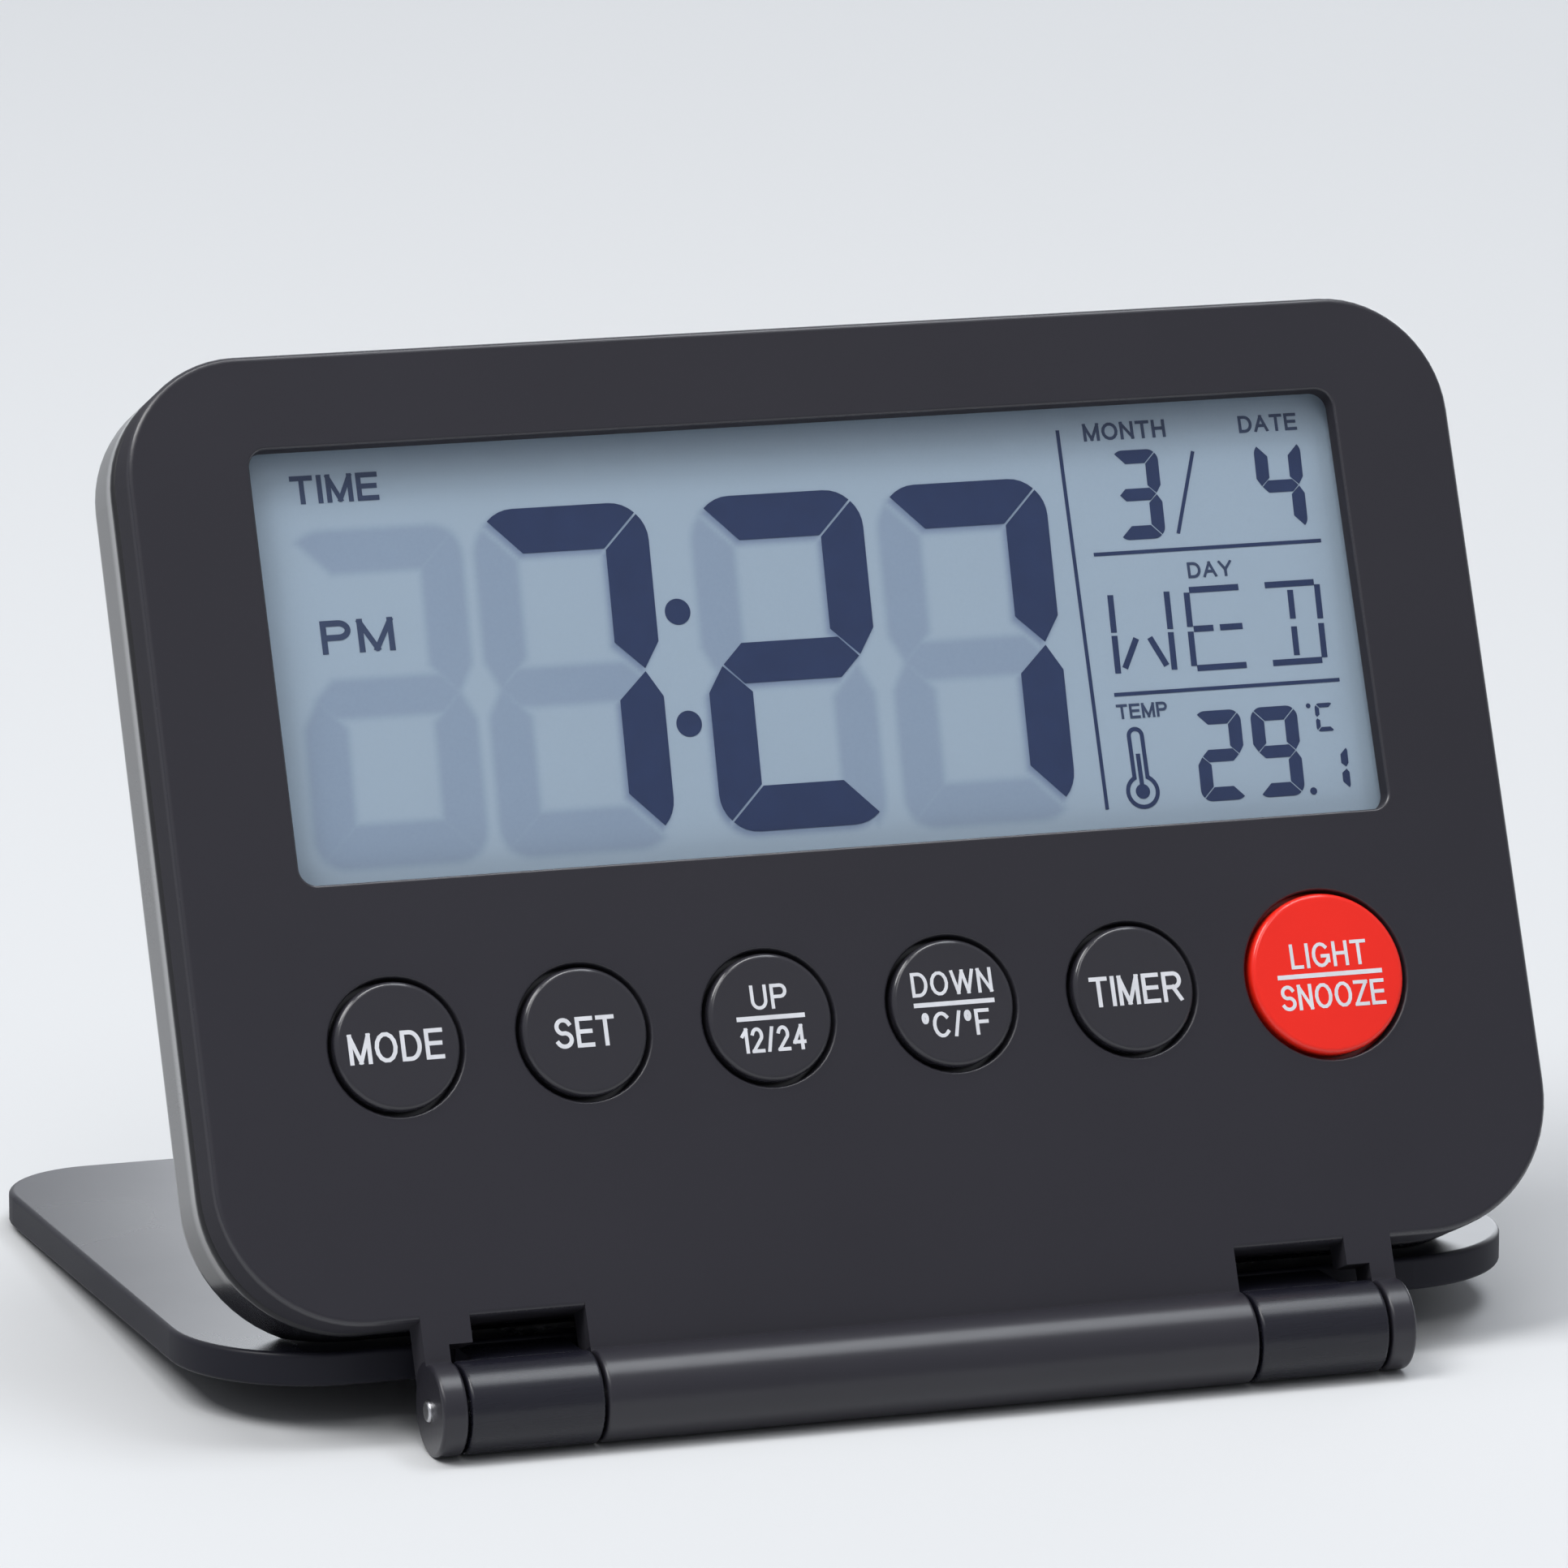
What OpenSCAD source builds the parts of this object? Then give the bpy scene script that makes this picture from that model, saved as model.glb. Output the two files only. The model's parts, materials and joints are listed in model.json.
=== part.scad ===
// Folding travel alarm clock.
// The case leans back on its own cover, which opens right round the hinge and becomes the stand.
// Millimetres, +Z up, the clock stands on z = 0 and faces -Y, as it stands open on a table.
//
// Case pieces are drawn in the face frame: X to the right, Y up the face from the hinge axis,
// and depths counted from the front face towards the back.
// Cover pieces are drawn in the cover frame: Y away from the hinge axis, Z out of the outer face.

/* [Case] */
// Width of the case
case_w = 110; // [100:0.5:130]
// Height of the case, without the hinge
case_h = 76; // [72:0.5:90]
// Thickness of the case, front to back
case_t = 11.5; // [11:0.1:16]
// Radius of the case's upper corners, seen from the front
case_r = 9.7; // [6:0.1:14]
// Radius of the case's lower corners
foot_r = 11.4; // [6:0.1:14]
// Thickness of the front wall
wall = 1.6; // [1.2:0.1:2.2]
// Thickness of the side walls
side_wall = 1.8; // [1.6:0.1:2.4]
// Thickness of the rear wall
rear_wall = 1.4; // [1.2:0.1:2]
// Rounding of the front edge
front_edge_r = 0.5; // [0.2:0.05:1]
// Rounding of the rear edge
rear_edge_r = 1.8; // [0.5:0.1:2.6]
// Rounding of the front face's edge round the display opening and the button holes
opening_edge_r = 0.25; // [0.1:0.05:0.4]
// Depth of the middle of the groove between the two shells
part_depth = 4.35; // [4:0.05:5.6]
// Width of that groove
groove_w = 0.8; // [0.4:0.1:1.2]
// Depth of that groove, measured in from the side
groove_depth = 0.9; // [0.6:0.05:1.1]
// Rounding of the front shell's lip at the groove
groove_edge_r = 0.3; // [0.1:0.05:0.4]
// Rounding of the rear shell's lip at the groove
rear_lip_r = 0.6; // [0.1:0.05:0.7]
// Length of the lap inside the groove
lap_len = 1.6; // [1.2:0.1:2.5]

/* [Display] */
// From the side of the case to the display opening
bezel_side = 9.85; // [9.5:0.05:18]
// From the top of the case to the display opening
bezel_top = 7.5; // [7:0.1:14]
// From the bottom of the case to the display opening
bezel_bottom = 34.2; // [33:0.1:40]
// Radius of the display opening's corners
window_r = 1.4; // [0.5:0.1:4]
// Thickness of the clear window
window_t = 0.8; // [0.5:0.1:1.2]
// How far the window reaches past its opening
window_lap = 1.6; // [1:0.1:2]
// Thickness of each polarising film
film_t = 0.2; // [0.1:0.05:0.3]
// Thickness of each of the two panes of the display
glass_t = 0.55; // [0.4:0.05:0.8]
// How far the panes reach past the opening at the sides
glass_side = 1.35; // [1:0.05:1.8]
// How far the panes reach above the opening
glass_top = 2; // [1.5:0.1:2.5]
// Height of the contact ledge below the opening
glass_ledge = 3.2; // [2.8:0.1:3.6]
// Thickness of the light guide
guide_t = 1.4; // [1:0.1:1.8]
// Wall of the display frame
frame_wall = 1.3; // [0.8:0.1:1.5]

/* [Buttons] */
// From the case's bottom edge up to the row of buttons
row_rise = 21.25; // [19:0.05:24]
// From the left side of the case to the first button
button_side = 15.8; // [14:0.1:18]
// From the right side of the case to the large button
light_side = 17.3; // [15:0.1:19]
// From the large button to its neighbour
light_pitch = 16.45; // [15:0.05:18]
// Radius of a small button
button_r = 5.05; // [4:0.05:5.4]
// Radius of the large button
light_r = 6.45; // [5:0.05:7]
// Gap round a button
button_gap = 0.35; // [0.2:0.05:0.5]
// Height of a button above the front face
button_proud = 0.45; // [0.2:0.05:0.8]
// Rounding of a button's edge
button_edge_r = 0.45; // [0.1:0.05:0.7]
// Travel of a button
button_travel = 0.4; // [0.2:0.05:0.6]
// How far the flange under a button reaches past its hole
flange_lip = 0.6; // [0.3:0.05:0.8]
// Thickness of that flange
flange_t = 0.6; // [0.4:0.05:0.8]
// Width of a switch body
switch_w = 6; // [4:0.1:7]
// Radius of a switch plunger
plunger_r = 1.7; // [1:0.05:2.2]
// Length of a switch plunger
plunger_len = 1.1; // [0.9:0.05:1.6]

/* [Hinge] */
// Radius of the hinge barrels
barrel_r = 3.6; // [3:0.05:4]
// Rounding of the barrels' ends
barrel_edge_r = 0.3; // [0.1:0.05:0.5]
// Depth of the hinge axis behind the front face
axis_depth = 0.5; // [0:0.05:1]
// From the hinge axis up to the case's bottom edge
neck_h = 6.8; // [6.5:0.05:9]
// Thickness of the neck
neck_t = 3; // [2:0.1:3.5]
// From the side of the case to the outer end of the hinge
hinge_side = 15; // [10:0.1:20]
// Length of each moving knuckle
knuckle_len = 10.7; // [9.5:0.05:16]
// Length of each fixed end ring
ring_len = 2.05; // [1.5:0.05:4]
// Gap at each end of a moving knuckle
knuckle_gap = 0.25; // [0.1:0.05:0.4]
// Width of each arm of the cover
arm_w = 8.8; // [5:0.1:9.5]
// Set-back of each arm from the cover's two faces
arm_inset = 0.3; // [0.1:0.05:0.6]
// Gap over a moving knuckle, under the neck's shoulder
shoulder_gap = 1.3; // [0.4:0.1:2]
// Radius of a hinge pin
pin_r = 0.85; // [0.6:0.05:1.5]
// Length of a hinge pin
pin_len = 20; // [16:0.5:30]
// How far a pin stands out of its end ring
pin_proud = 0.3; // [0.25:0.05:0.6]
// Rounding of a pin's outer end
pin_edge_r = 0.2; // [0.1:0.05:0.25]
// Running clearance of a pin in the cover's knuckle
pin_play = 0.05; // [0.02:0.01:0.1]

/* [Cover] */
// How far the cover stands out past each side of the case
cover_over = 0.3; // [0:0.05:1]
// From the hinge axis to the cover's near edge
cover_from = 6.6; // [6:0.1:10]
// Depth of the cover plate, from its near edge to its far edge
cover_depth = 64.9; // [55:0.1:80]
// Thickness of the cover
cover_t = 2.7; // [2:0.1:3]
// Radius of the cover's far corners
cover_r = 8.4; // [6:0.1:14]
// Radius of the cover's corners next to the hinge
cover_near_r = 11.4; // [6:0.1:14]
// Rounding of the cover's edges
cover_edge_r = 0.4; // [0.3:0.05:0.9]
// Gap between the closed cover and the front face
cover_gap = 0.2; // [0.15:0.05:0.5]
// Rim round the recess in the cover's inner face
cover_rim = 4; // [3:0.1:6]
// Depth of that recess, which clears the buttons
cover_recess = 0.9; // [0.7:0.05:1.2]
// Angle between the front face and the open cover
open_angle = 67.35; // [60:0.05:80]
// Gap between the open cover and the bevel that stops it
stop_gap = 0.1; // [0.05:0.05:0.3]

/* [Inside] */
// Thickness of the circuit board
board_t = 1; // [0.8:0.1:1.2]
// Radius of the coin cell
cell_r = 10; // [8:0.1:10.5]
// Thickness of the coin cell
cell_t = 3.2; // [2.5:0.1:3.2]
// From the case's bottom edge up to the middle of the coin cell
cell_rise = 21.2; // [19:0.1:24]
// Radius of the battery door
door_r = 13; // [12.8:0.1:14]
// Thickness of the battery door's rim
door_t = 0.7; // [0.5:0.05:0.8]
// Turn that frees the battery door
door_turn = 55; // [40:1:70]
// Radius of the buzzer
buzzer_r = 10; // [8:0.1:11]
// Radius of a case screw's shank
screw_r = 0.95; // [0.7:0.05:1]
// Radius of a case screw's head
screw_head_r = 1.75; // [1.5:0.05:1.9]
// Depth of the recess over a case screw's seat
screw_recess = 3.1; // [2.4:0.1:3.4]
// Radius of a board screw's shank
board_screw_r = 0.8; // [0.6:0.05:0.9]
// Radius of a lead
lead_r = 0.35; // [0.2:0.05:0.5]

/* [Hidden] */
$fn = 64;
edge_steps = 8;

// Clearances shared by the pieces
fit = 0.05;
seat = 0.15;
lap_gap = 0.05;
press = 0.02;
cut = 1;

// Case outline
case_mid = neck_h + case_h / 2;
case_top = neck_h + case_h;
part_front = part_depth - groove_w / 2;
part_rear = part_depth + groove_w / 2;
lap_end = part_front + lap_len;
inner_w = case_w - 2 * side_wall;
inner_h = case_h - 2 * side_wall;
inner_r = case_r - side_wall;
inner_foot_r = foot_r - side_wall;
lap_w = case_w - 2 * groove_depth;
lap_h = case_h - 2 * groove_depth;
lap_r = case_r - groove_depth;
lap_foot_r = foot_r - groove_depth;
rear_in = case_t - rear_wall;

// Display stack, front to back
window_w = case_w - 2 * bezel_side;
window_h = case_h - bezel_top - bezel_bottom;
window_mid = neck_h + bezel_bottom + window_h / 2;
window_back = wall + window_t;
film_front = window_back + fit;
glass_front = film_front + film_t;
glass_mid = glass_front + glass_t;
glass_back = glass_mid + glass_t;
guide_front = glass_back + film_t + fit;
guide_back = guide_front + guide_t;
board_front = guide_back + seat;
board_back = board_front + board_t;
glass_w = window_w + 2 * glass_side;
glass_low = window_mid - window_h / 2 - glass_ledge;
glass_high = window_mid + window_h / 2 + glass_top;
ledge_top = window_mid - window_h / 2 - fit;
frame_w = glass_w + 2 * (seat + frame_wall);
frame_low = glass_low - seat - frame_wall;
frame_high = glass_high + seat + frame_wall;
light_size = 1;

// Buttons: five small ones spread between the first and the large one's neighbour
row_y = neck_h + row_rise;
button_count = 5;
first_x = -case_w / 2 + button_side;
light_x = case_w / 2 - light_side;
button_pitch = (light_x - light_pitch - first_x) / (button_count - 1);
button_xs = [for (i = [0:button_count - 1]) first_x + i * button_pitch];
key_xs = concat(button_xs, [light_x]);
flange_front = wall + seat;
flange_back = flange_front + flange_t;
key_foot = 0.2;
key_back = flange_back + key_foot;
plunger_front = key_back + fit;
switch_front = plunger_front + button_travel + 2 * fit;

// Board and the bosses that stand outside it
boss_wall = 1.1;
boss_r = screw_r + press + boss_wall;
boss_gap = 0.9;
high_boss_x = frame_w / 2 + boss_gap + boss_r;
high_boss_drop = 12.8;
low_boss_inset = 8;
low_boss_rise = 7.5;
bosses = [
    [-high_boss_x, case_top - high_boss_drop], [high_boss_x, case_top - high_boss_drop],
    [-case_w / 2 + low_boss_inset, neck_h + low_boss_rise],
    [case_w / 2 - low_boss_inset, neck_h + low_boss_rise]
];
screw_seat = case_t - screw_recess;
screw_floor = 1.2;
boss_end = screw_seat - screw_floor;
screw_head_t = 1.3;
tube_wall = 0.9;
head_gap = 0.35;
boss_web = 0.8;
boss_floor = wall + boss_web;
board_w = frame_w + 2 * seat;
board_gap = 1.4;
board_low = neck_h + side_wall + board_gap;
board_high = frame_high + 2 * seat;
board_step = neck_h + low_boss_rise + boss_r + boss_gap;
board_low_w = case_w - 2 * (low_boss_inset + boss_r + boss_gap);
post_wall = 0.9;
post_gap = 0.4;
post_r = board_screw_r + press + post_wall;
post_low_x = 31.5;
post_low_y = board_low + post_r + post_gap;
post_high_x = frame_w / 2 - post_r;
post_high_y = frame_low - post_r - post_gap;
posts = [
    [-post_low_x, post_low_y], [post_low_x, post_low_y],
    [-post_high_x, post_high_y], [post_high_x, post_high_y]
];
board_head_r = 1.4;
board_head_t = 0.9;

// Battery bay: the cell lies against the door, and its lower contact reaches back from the board
cell_y = neck_h + cell_rise;
cell_back = rear_in - fit;
cell_front = cell_back - cell_t;
contact_t = 0.2;
contact_w = 6;
door_play = 0.2;
sleeve_gap = 0.45;
sleeve_wall = 0.85;
lug_reach = 1;
sleeve_in = cell_r + sleeve_gap;
sleeve_out = sleeve_in + sleeve_wall;
ledge_r = sleeve_out + door_play;
lug_r = ledge_r + lug_reach;
lug_t = 0.65;
lug_angle = 28;
lug_slack = 4;
door_in = case_t - door_t;
lug_back = rear_in - seat;
lug_front = lug_back - lug_t;
coin_slot_len = 15;
coin_slot_w = 1.8;
coin_slot_deep = 0.45;

// Buzzer and its seat
buzzer_inset = 18.1;
buzzer_x = board_w / 2 - buzzer_inset;
buzzer_y = window_mid;
buzzer_t = 0.35;
ceramic_rim = 3;
ceramic_r = buzzer_r - ceramic_rim;
ceramic_t = 0.2;
seat_ring_w = 1.4;
seat_ring_h = 0.8;
buzzer_back = rear_in - seat_ring_h;
buzzer_front = buzzer_back - buzzer_t;
sound_hole_r = 0.75;
sound_ring_r = 4.5;
sound_holes = 6;

// Small parts on the back of the board
chip_at = [-22, window_mid + 2];
chip_r = 5;
chip_h = 1.3;
crystal_at = [-10, window_mid + 11];
crystal_r = 1;
crystal_len = 6;
sensor_inset = 10.1;
sensor_drop = 8;
sensor_at = [-board_w / 2 + sensor_inset, row_y - sensor_drop];
sensor_r = 0.9;
sensor_len = 2.6;
chip_parts = [[-34, 8], [-34, -2], [-12, -8], [-4, -4], [4, 6]];
chip_part_size = [2, 1.25, 0.9];
solder = 0.12;
lead_pads = [[-16, -6], [-16, -9]];
lead_ends = [[-3.5, -2], [-3.5, -6]];

// Hinge, from its outer end inwards
barrel_end = case_w / 2 - hinge_side;
knuckle_out = barrel_end - ring_len - knuckle_gap;
knuckle_in = knuckle_out - knuckle_len;
barrel_half = knuckle_in - knuckle_gap;
arm_in = knuckle_in;
arm_out = arm_in + arm_w;
shoulder_y = barrel_r + shoulder_gap;

// Cover, and how the clock stands on it
cover_w = case_w + 2 * cover_over;
cover_in = axis_depth + cover_gap;
cover_out = cover_in + cover_t;
cover_back = cover_from + cover_depth;
fold = 90 - open_angle;
foot_along = cover_back - cover_edge_r;
foot_up = cover_in + cover_edge_r;
stand_tilt = asin((barrel_r - cover_edge_r) / norm([foot_along, foot_up])) + atan2(foot_up, foot_along);
lean = fold + stand_tilt;
back_y = foot_along * cos(stand_tilt) + (cover_out - cover_edge_r) * sin(stand_tilt) + cover_edge_r;
case_back_y = (case_t - axis_depth) * cos(lean) + case_top * sin(lean);
middle_y = (max(back_y, case_back_y) - barrel_r) / 2;

// Puts a piece drawn in the face frame where the case stands
module case_frame() {
    translate([0, -middle_y, barrel_r])
        rotate([-lean, 0, 0])
            translate([0, -axis_depth, 0])
                rotate([90, 0, 0])
                    children();
}

// Puts a piece drawn in the cover frame where the open cover lies
module cover_frame() {
    translate([0, -middle_y, barrel_r])
        rotate([-stand_tilt, 0, 0])
            children();
}

// Points on a circle, and those of a quarter circle that rounds an edge
function on_circle(centre, r, angle) = centre + r * [cos(angle), sin(angle)];
function quarter(centre, r, from) =
    [for (i = [0:edge_steps]) on_circle(centre, r, from + 90 * i / edge_steps)];

// Half section of a block, from its middle out to its side, with both outer edges rounded
module edge_profile(r, t, low_r, high_r) {
    low = low_r > 0 ? quarter([r - low_r, low_r], low_r, -90) : [[r, 0]];
    high = high_r > 0 ? quarter([r - high_r, t - high_r], high_r, 0) : [[r, t]];
    polygon(concat([[0, 0]], low, high, [[0, t]]));
}

// Half section of an opening in the front wall, with its front edge rounded away
module opening_profile(r) {
    middle = [r + opening_edge_r, -opening_edge_r];
    edge = [for (i = [0:edge_steps]) on_circle(middle, opening_edge_r, 180 - 90 * i / edge_steps)];
    polygon(concat([[0, -wall - fit], [r, -wall - fit]], edge, [[r + opening_edge_r, cut], [0, cut]]));
}

// The upper half of a block, from y = 0 up, with the child as its half section at the sides:
// two round corners, three sides and a core between two heights
module swept_half(w, h, r, low, high) {
    core_w = w - 2 * r;
    core_h = h - r;
    for (side = [0, 1])
        mirror([side, 0, 0])
            translate([core_w / 2, core_h, 0]) {
                rotate_extrude(angle = 90)
                    children();
                rotate([90, 0, 0])
                    linear_extrude(core_h)
                        children();
            }
    rotate([0, 0, 90])
        translate([core_h, core_w / 2, 0])
            rotate([90, 0, 0])
                linear_extrude(core_w)
                    children();
    translate([-core_w / 2, 0, low])
        cube([core_w, core_h, high - low]);
}

// A block with round corners, r at its top and near_r at its foot, and with rounded edges
module soft_block(w, h, r, near_r, t, low_r = 0, high_r = 0) {
    swept_half(w, h / 2, r, 0, t)
        edge_profile(r, t, low_r, high_r);
    mirror([0, 1, 0])
        swept_half(w, h / 2, near_r, 0, t)
            edge_profile(near_r, t, low_r, high_r);
}

// The same block in the face frame, between two depths, centred up the face at y
module face_block(w, h, r, near_r, y, from, to, front_r = 0, back_r = 0) {
    translate([0, y, -to])
        soft_block(w, h, r, near_r, to - from, back_r, front_r);
}

// The case's outer shape, between two depths
module case_block(from, to, front_r, back_r) {
    face_block(case_w, case_h, case_r, foot_r, case_mid, from, to, front_r, back_r);
}

// The room inside the side walls
module case_room(from, to) {
    face_block(inner_w, inner_h, inner_r, inner_foot_r, case_mid, from, to);
}

// The outer shape of the lap behind the groove, or of its recess when grown
module lap_block(from, to, grow = 0) {
    face_block(lap_w + 2 * grow, lap_h + 2 * grow, lap_r + grow, lap_foot_r + grow, case_mid, from, to);
}

// The display opening through the front wall
module display_opening() {
    translate([0, window_mid, 0])
        for (half = [0, 1])
            mirror([0, half, 0])
                swept_half(window_w, window_h / 2, window_r, -wall - fit, cut)
                    opening_profile(window_r);
}

// A button's hole through the front wall
module button_hole(r) {
    rotate_extrude()
        opening_profile(r + button_gap);
}

// A box in the face frame
module face_box(x0, x1, y0, y1, from, to) {
    translate([x0, y0, -to])
        cube([x1 - x0, y1 - y0, to - from]);
}

// A round bar or hole that runs straight back in the face frame
module face_rod(at, r, from, to) {
    translate([at[0], at[1], -to])
        cylinder(r = r, h = to - from);
}

// A round bar or hole along the hinge axis in the face frame
module hinge_rod(x0, x1, r) {
    translate([x0, 0, -axis_depth])
        rotate([0, 90, 0])
            cylinder(r = r, h = x1 - x0);
}

// A hinge barrel with rounded ends
module barrel(x0, x1) {
    translate([x0, 0, 0])
        rotate([0, 90, 0])
            rotate_extrude()
                edge_profile(barrel_r, x1 - x0, barrel_edge_r, barrel_edge_r);
}

// Six places of the keys, in a row
module at_keys() {
    for (x = key_xs)
        translate([x, row_y, 0])
            children();
}

// Neck under the case: the middle web, and a shoulder over each end ring
module neck() {
    face_box(-barrel_half, barrel_half, 0, neck_h + side_wall, 0, neck_t);
    translate([0, 0, -axis_depth])
        barrel(-barrel_half, barrel_half);
    for (side = [0, 1])
        mirror([side, 0, 0]) {
            face_box(arm_out + knuckle_gap, barrel_end, shoulder_y, neck_h + side_wall, 0, neck_t);
            face_box(barrel_end - ring_len, barrel_end, 0, shoulder_y, 0, neck_t);
            translate([0, 0, -axis_depth])
                barrel(barrel_end - ring_len, barrel_end);
        }
}

module front_shell() {
    color([0.21, 0.21, 0.23])
        case_frame()
            difference() {
                union() {
                    difference() {
                        union() {
                            case_block(0, part_front, front_edge_r, groove_edge_r);
                            lap_block(wall, lap_end);
                        }
                        case_room(wall, lap_end + cut);
                    }
                    neck();
                    for (b = bosses)
                        face_rod(b, boss_r, wall - fit, boss_end);
                    for (p = posts)
                        face_rod(p, post_r, wall - fit, board_front);
                }
                display_opening();
                for (x = button_xs)
                    translate([x, row_y, 0])
                        button_hole(button_r);
                translate([light_x, row_y, 0])
                    button_hole(light_r);
                for (b = bosses)
                    face_rod(b, screw_r + press, boss_floor, boss_end + cut);
                for (p = posts)
                    face_rod(p, board_screw_r + press, boss_floor, board_front + cut);
                for (side = [0, 1])
                    mirror([side, 0, 0])
                        hinge_rod(barrel_end - pin_len - fit, barrel_end + cut, pin_r + press);
            }
}

// Everything nearer to the open cover than the bevel that the case leans on
module stop_cut() {
    reach = 2 * (case_t + neck_h);
    translate([-case_w, 0, -axis_depth])
        rotate([fold, 0, 0])
            translate([0, -reach, -reach])
                cube([2 * case_w, reach + cover_out + stop_gap, 2 * reach]);
}

module rear_shell() {
    color([0.2, 0.2, 0.22])
        case_frame()
            difference() {
                union() {
                    difference() {
                        case_block(part_rear, case_t, rear_lip_r, rear_edge_r);
                        case_room(part_rear - cut, rear_in);
                        lap_block(part_rear - cut, lap_end + fit, lap_gap);
                    }
                    for (b = bosses)
                        face_rod(b, screw_head_r + head_gap + tube_wall, boss_end + fit, rear_in + fit);
                    translate([buzzer_x, buzzer_y, 0])
                        difference() {
                            face_rod([0, 0], buzzer_r, buzzer_back, rear_in + fit);
                            face_rod([0, 0], buzzer_r - seat_ring_w, buzzer_back - cut, rear_in + cut);
                        }
                }
                for (b = bosses) {
                    face_rod(b, screw_head_r + head_gap, screw_seat, case_t + cut);
                    face_rod(b, screw_r + seat, boss_end - cut, screw_seat + cut);
                }
                translate([0, cell_y, 0]) {
                    face_rod([0, 0], ledge_r, rear_in - cut, case_t + cut);
                    face_rod([0, 0], door_r + door_play, door_in - fit, case_t + cut);
                    lug_ring(lug_r + door_play, lug_angle + 2 * lug_slack, door_turn - lug_slack,
                        rear_in - cut, case_t);
                }
                translate([buzzer_x, buzzer_y, 0]) {
                    face_rod([0, 0], sound_hole_r, rear_in - cut, case_t + cut);
                    for (i = [0:sound_holes - 1])
                        rotate([0, 0, i * 360 / sound_holes])
                            face_rod([sound_ring_r, 0], sound_hole_r, rear_in - cut, case_t + cut);
                }
                stop_cut();
            }
}

// Two opposite lugs out to a radius, turned from the locked place by an angle
module lug_ring(r, angle, turn, from, to) {
    for (half = [0, 180])
        translate([0, 0, -to])
            rotate([0, 0, half + turn])
                rotate_extrude(angle = angle)
                    translate([sleeve_in, 0])
                        square([r - sleeve_in, to - from]);
}

module display_window() {
    color([0.8, 0.85, 0.88, 0.35])
        case_frame()
            face_block(window_w + 2 * window_lap, window_h + 2 * window_lap, window_r, window_r, window_mid,
                wall, window_back);
}

module display_films() {
    color([0.55, 0.6, 0.62])
        case_frame() {
            face_box(-glass_w / 2, glass_w / 2, ledge_top, glass_high, film_front, glass_front);
            face_box(-glass_w / 2, glass_w / 2, ledge_top, glass_high, glass_back, glass_back + film_t);
        }
}

module display_glass() {
    color([0.62, 0.7, 0.74])
        case_frame() {
            face_box(-glass_w / 2, glass_w / 2, glass_low, glass_high, glass_front, glass_mid);
            face_box(-glass_w / 2, glass_w / 2, ledge_top, glass_high, glass_mid, glass_back);
        }
}

module light_guide() {
    color([0.9, 0.92, 0.9])
        case_frame()
            face_box(-glass_w / 2, glass_w / 2 - light_size - 2 * fit, ledge_top, glass_high,
                guide_front, guide_back);
}

// Two side lights at the guide's right-hand end
module side_lights() {
    light_len = 3;
    color([0.95, 0.9, 0.6])
        case_frame()
            for (rise = [-window_h / 4, window_h / 4])
                face_box(glass_w / 2 - light_size, glass_w / 2, window_mid + rise - light_len / 2,
                    window_mid + rise + light_len / 2, guide_front, board_front);
}

module display_frame() {
    color([0.9, 0.9, 0.88])
        case_frame()
            difference() {
                face_box(-frame_w / 2, frame_w / 2, frame_low, frame_high, film_front, board_front);
                face_box(-glass_w / 2 - seat, glass_w / 2 + seat, glass_low - seat, glass_high + seat,
                    film_front - cut, board_front + cut);
            }
}

// Elastomer strip from the glass ledge down to the board
module contact_strip() {
    strip_gap = 1.2;
    strip_t = glass_ledge - strip_gap;
    color([0.75, 0.35, 0.5])
        case_frame()
            face_box(-window_w / 2 + strip_t, window_w / 2 - strip_t,
                glass_low + seat, glass_low + seat + strip_t, glass_mid, board_front);
}

module main_board() {
    color([0.1, 0.35, 0.2])
        case_frame()
            difference() {
                union() {
                    face_box(-board_w / 2, board_w / 2, board_step, board_high, board_front, board_back);
                    face_box(-board_low_w / 2, board_low_w / 2, board_low, board_step + fit,
                        board_front, board_back);
                }
                for (p = posts)
                    face_rod(p, board_screw_r + seat, board_front - cut, board_back + cut);
            }
}

// Drop of resin over the clock chip
module clock_chip() {
    dome_r = (chip_r * chip_r + chip_h * chip_h) / (2 * chip_h);
    half_angle = asin(chip_r / dome_r);
    middle = [0, chip_h - dome_r];
    rim = [for (i = [0:edge_steps]) on_circle(middle, dome_r, 90 - half_angle * i / edge_steps)];
    color([0.08, 0.08, 0.08])
        case_frame()
            translate([chip_at[0], chip_at[1], -board_back])
                mirror([0, 0, 1])
                    rotate_extrude()
                        polygon(concat([[0, 0]], rim));
}

module quartz_crystal() {
    color([0.75, 0.76, 0.78])
        case_frame()
            translate([crystal_at[0], crystal_at[1], -(board_back + crystal_r + press)])
                rotate([0, 90, 0])
                    cylinder(r = crystal_r, h = crystal_len);
}

module temperature_sensor() {
    color([0.15, 0.3, 0.25])
        case_frame()
            translate([sensor_at[0], sensor_at[1], -(board_back + sensor_r + press)])
                rotate([90, 0, 0])
                    cylinder(r = sensor_r, h = sensor_len);
}

module board_components() {
    color([0.6, 0.5, 0.35])
        case_frame()
            for (p = chip_parts)
                translate([p[0], window_mid + p[1], 0])
                    face_box(0, chip_part_size[0], 0, chip_part_size[1],
                        board_back, board_back + chip_part_size[2]);
}

module switch_bodies() {
    color([0.3, 0.3, 0.3])
        case_frame()
            at_keys()
                difference() {
                    face_box(-switch_w / 2, switch_w / 2, -switch_w / 2, switch_w / 2,
                        switch_front, board_front);
                    face_rod([0, 0], plunger_r + seat, switch_front - cut,
                        plunger_front + plunger_len + button_travel + seat);
                }
}

module coin_cell() {
    color([0.78, 0.78, 0.76])
        case_frame()
            face_rod([0, cell_y], cell_r, cell_front, cell_back);
}

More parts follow.
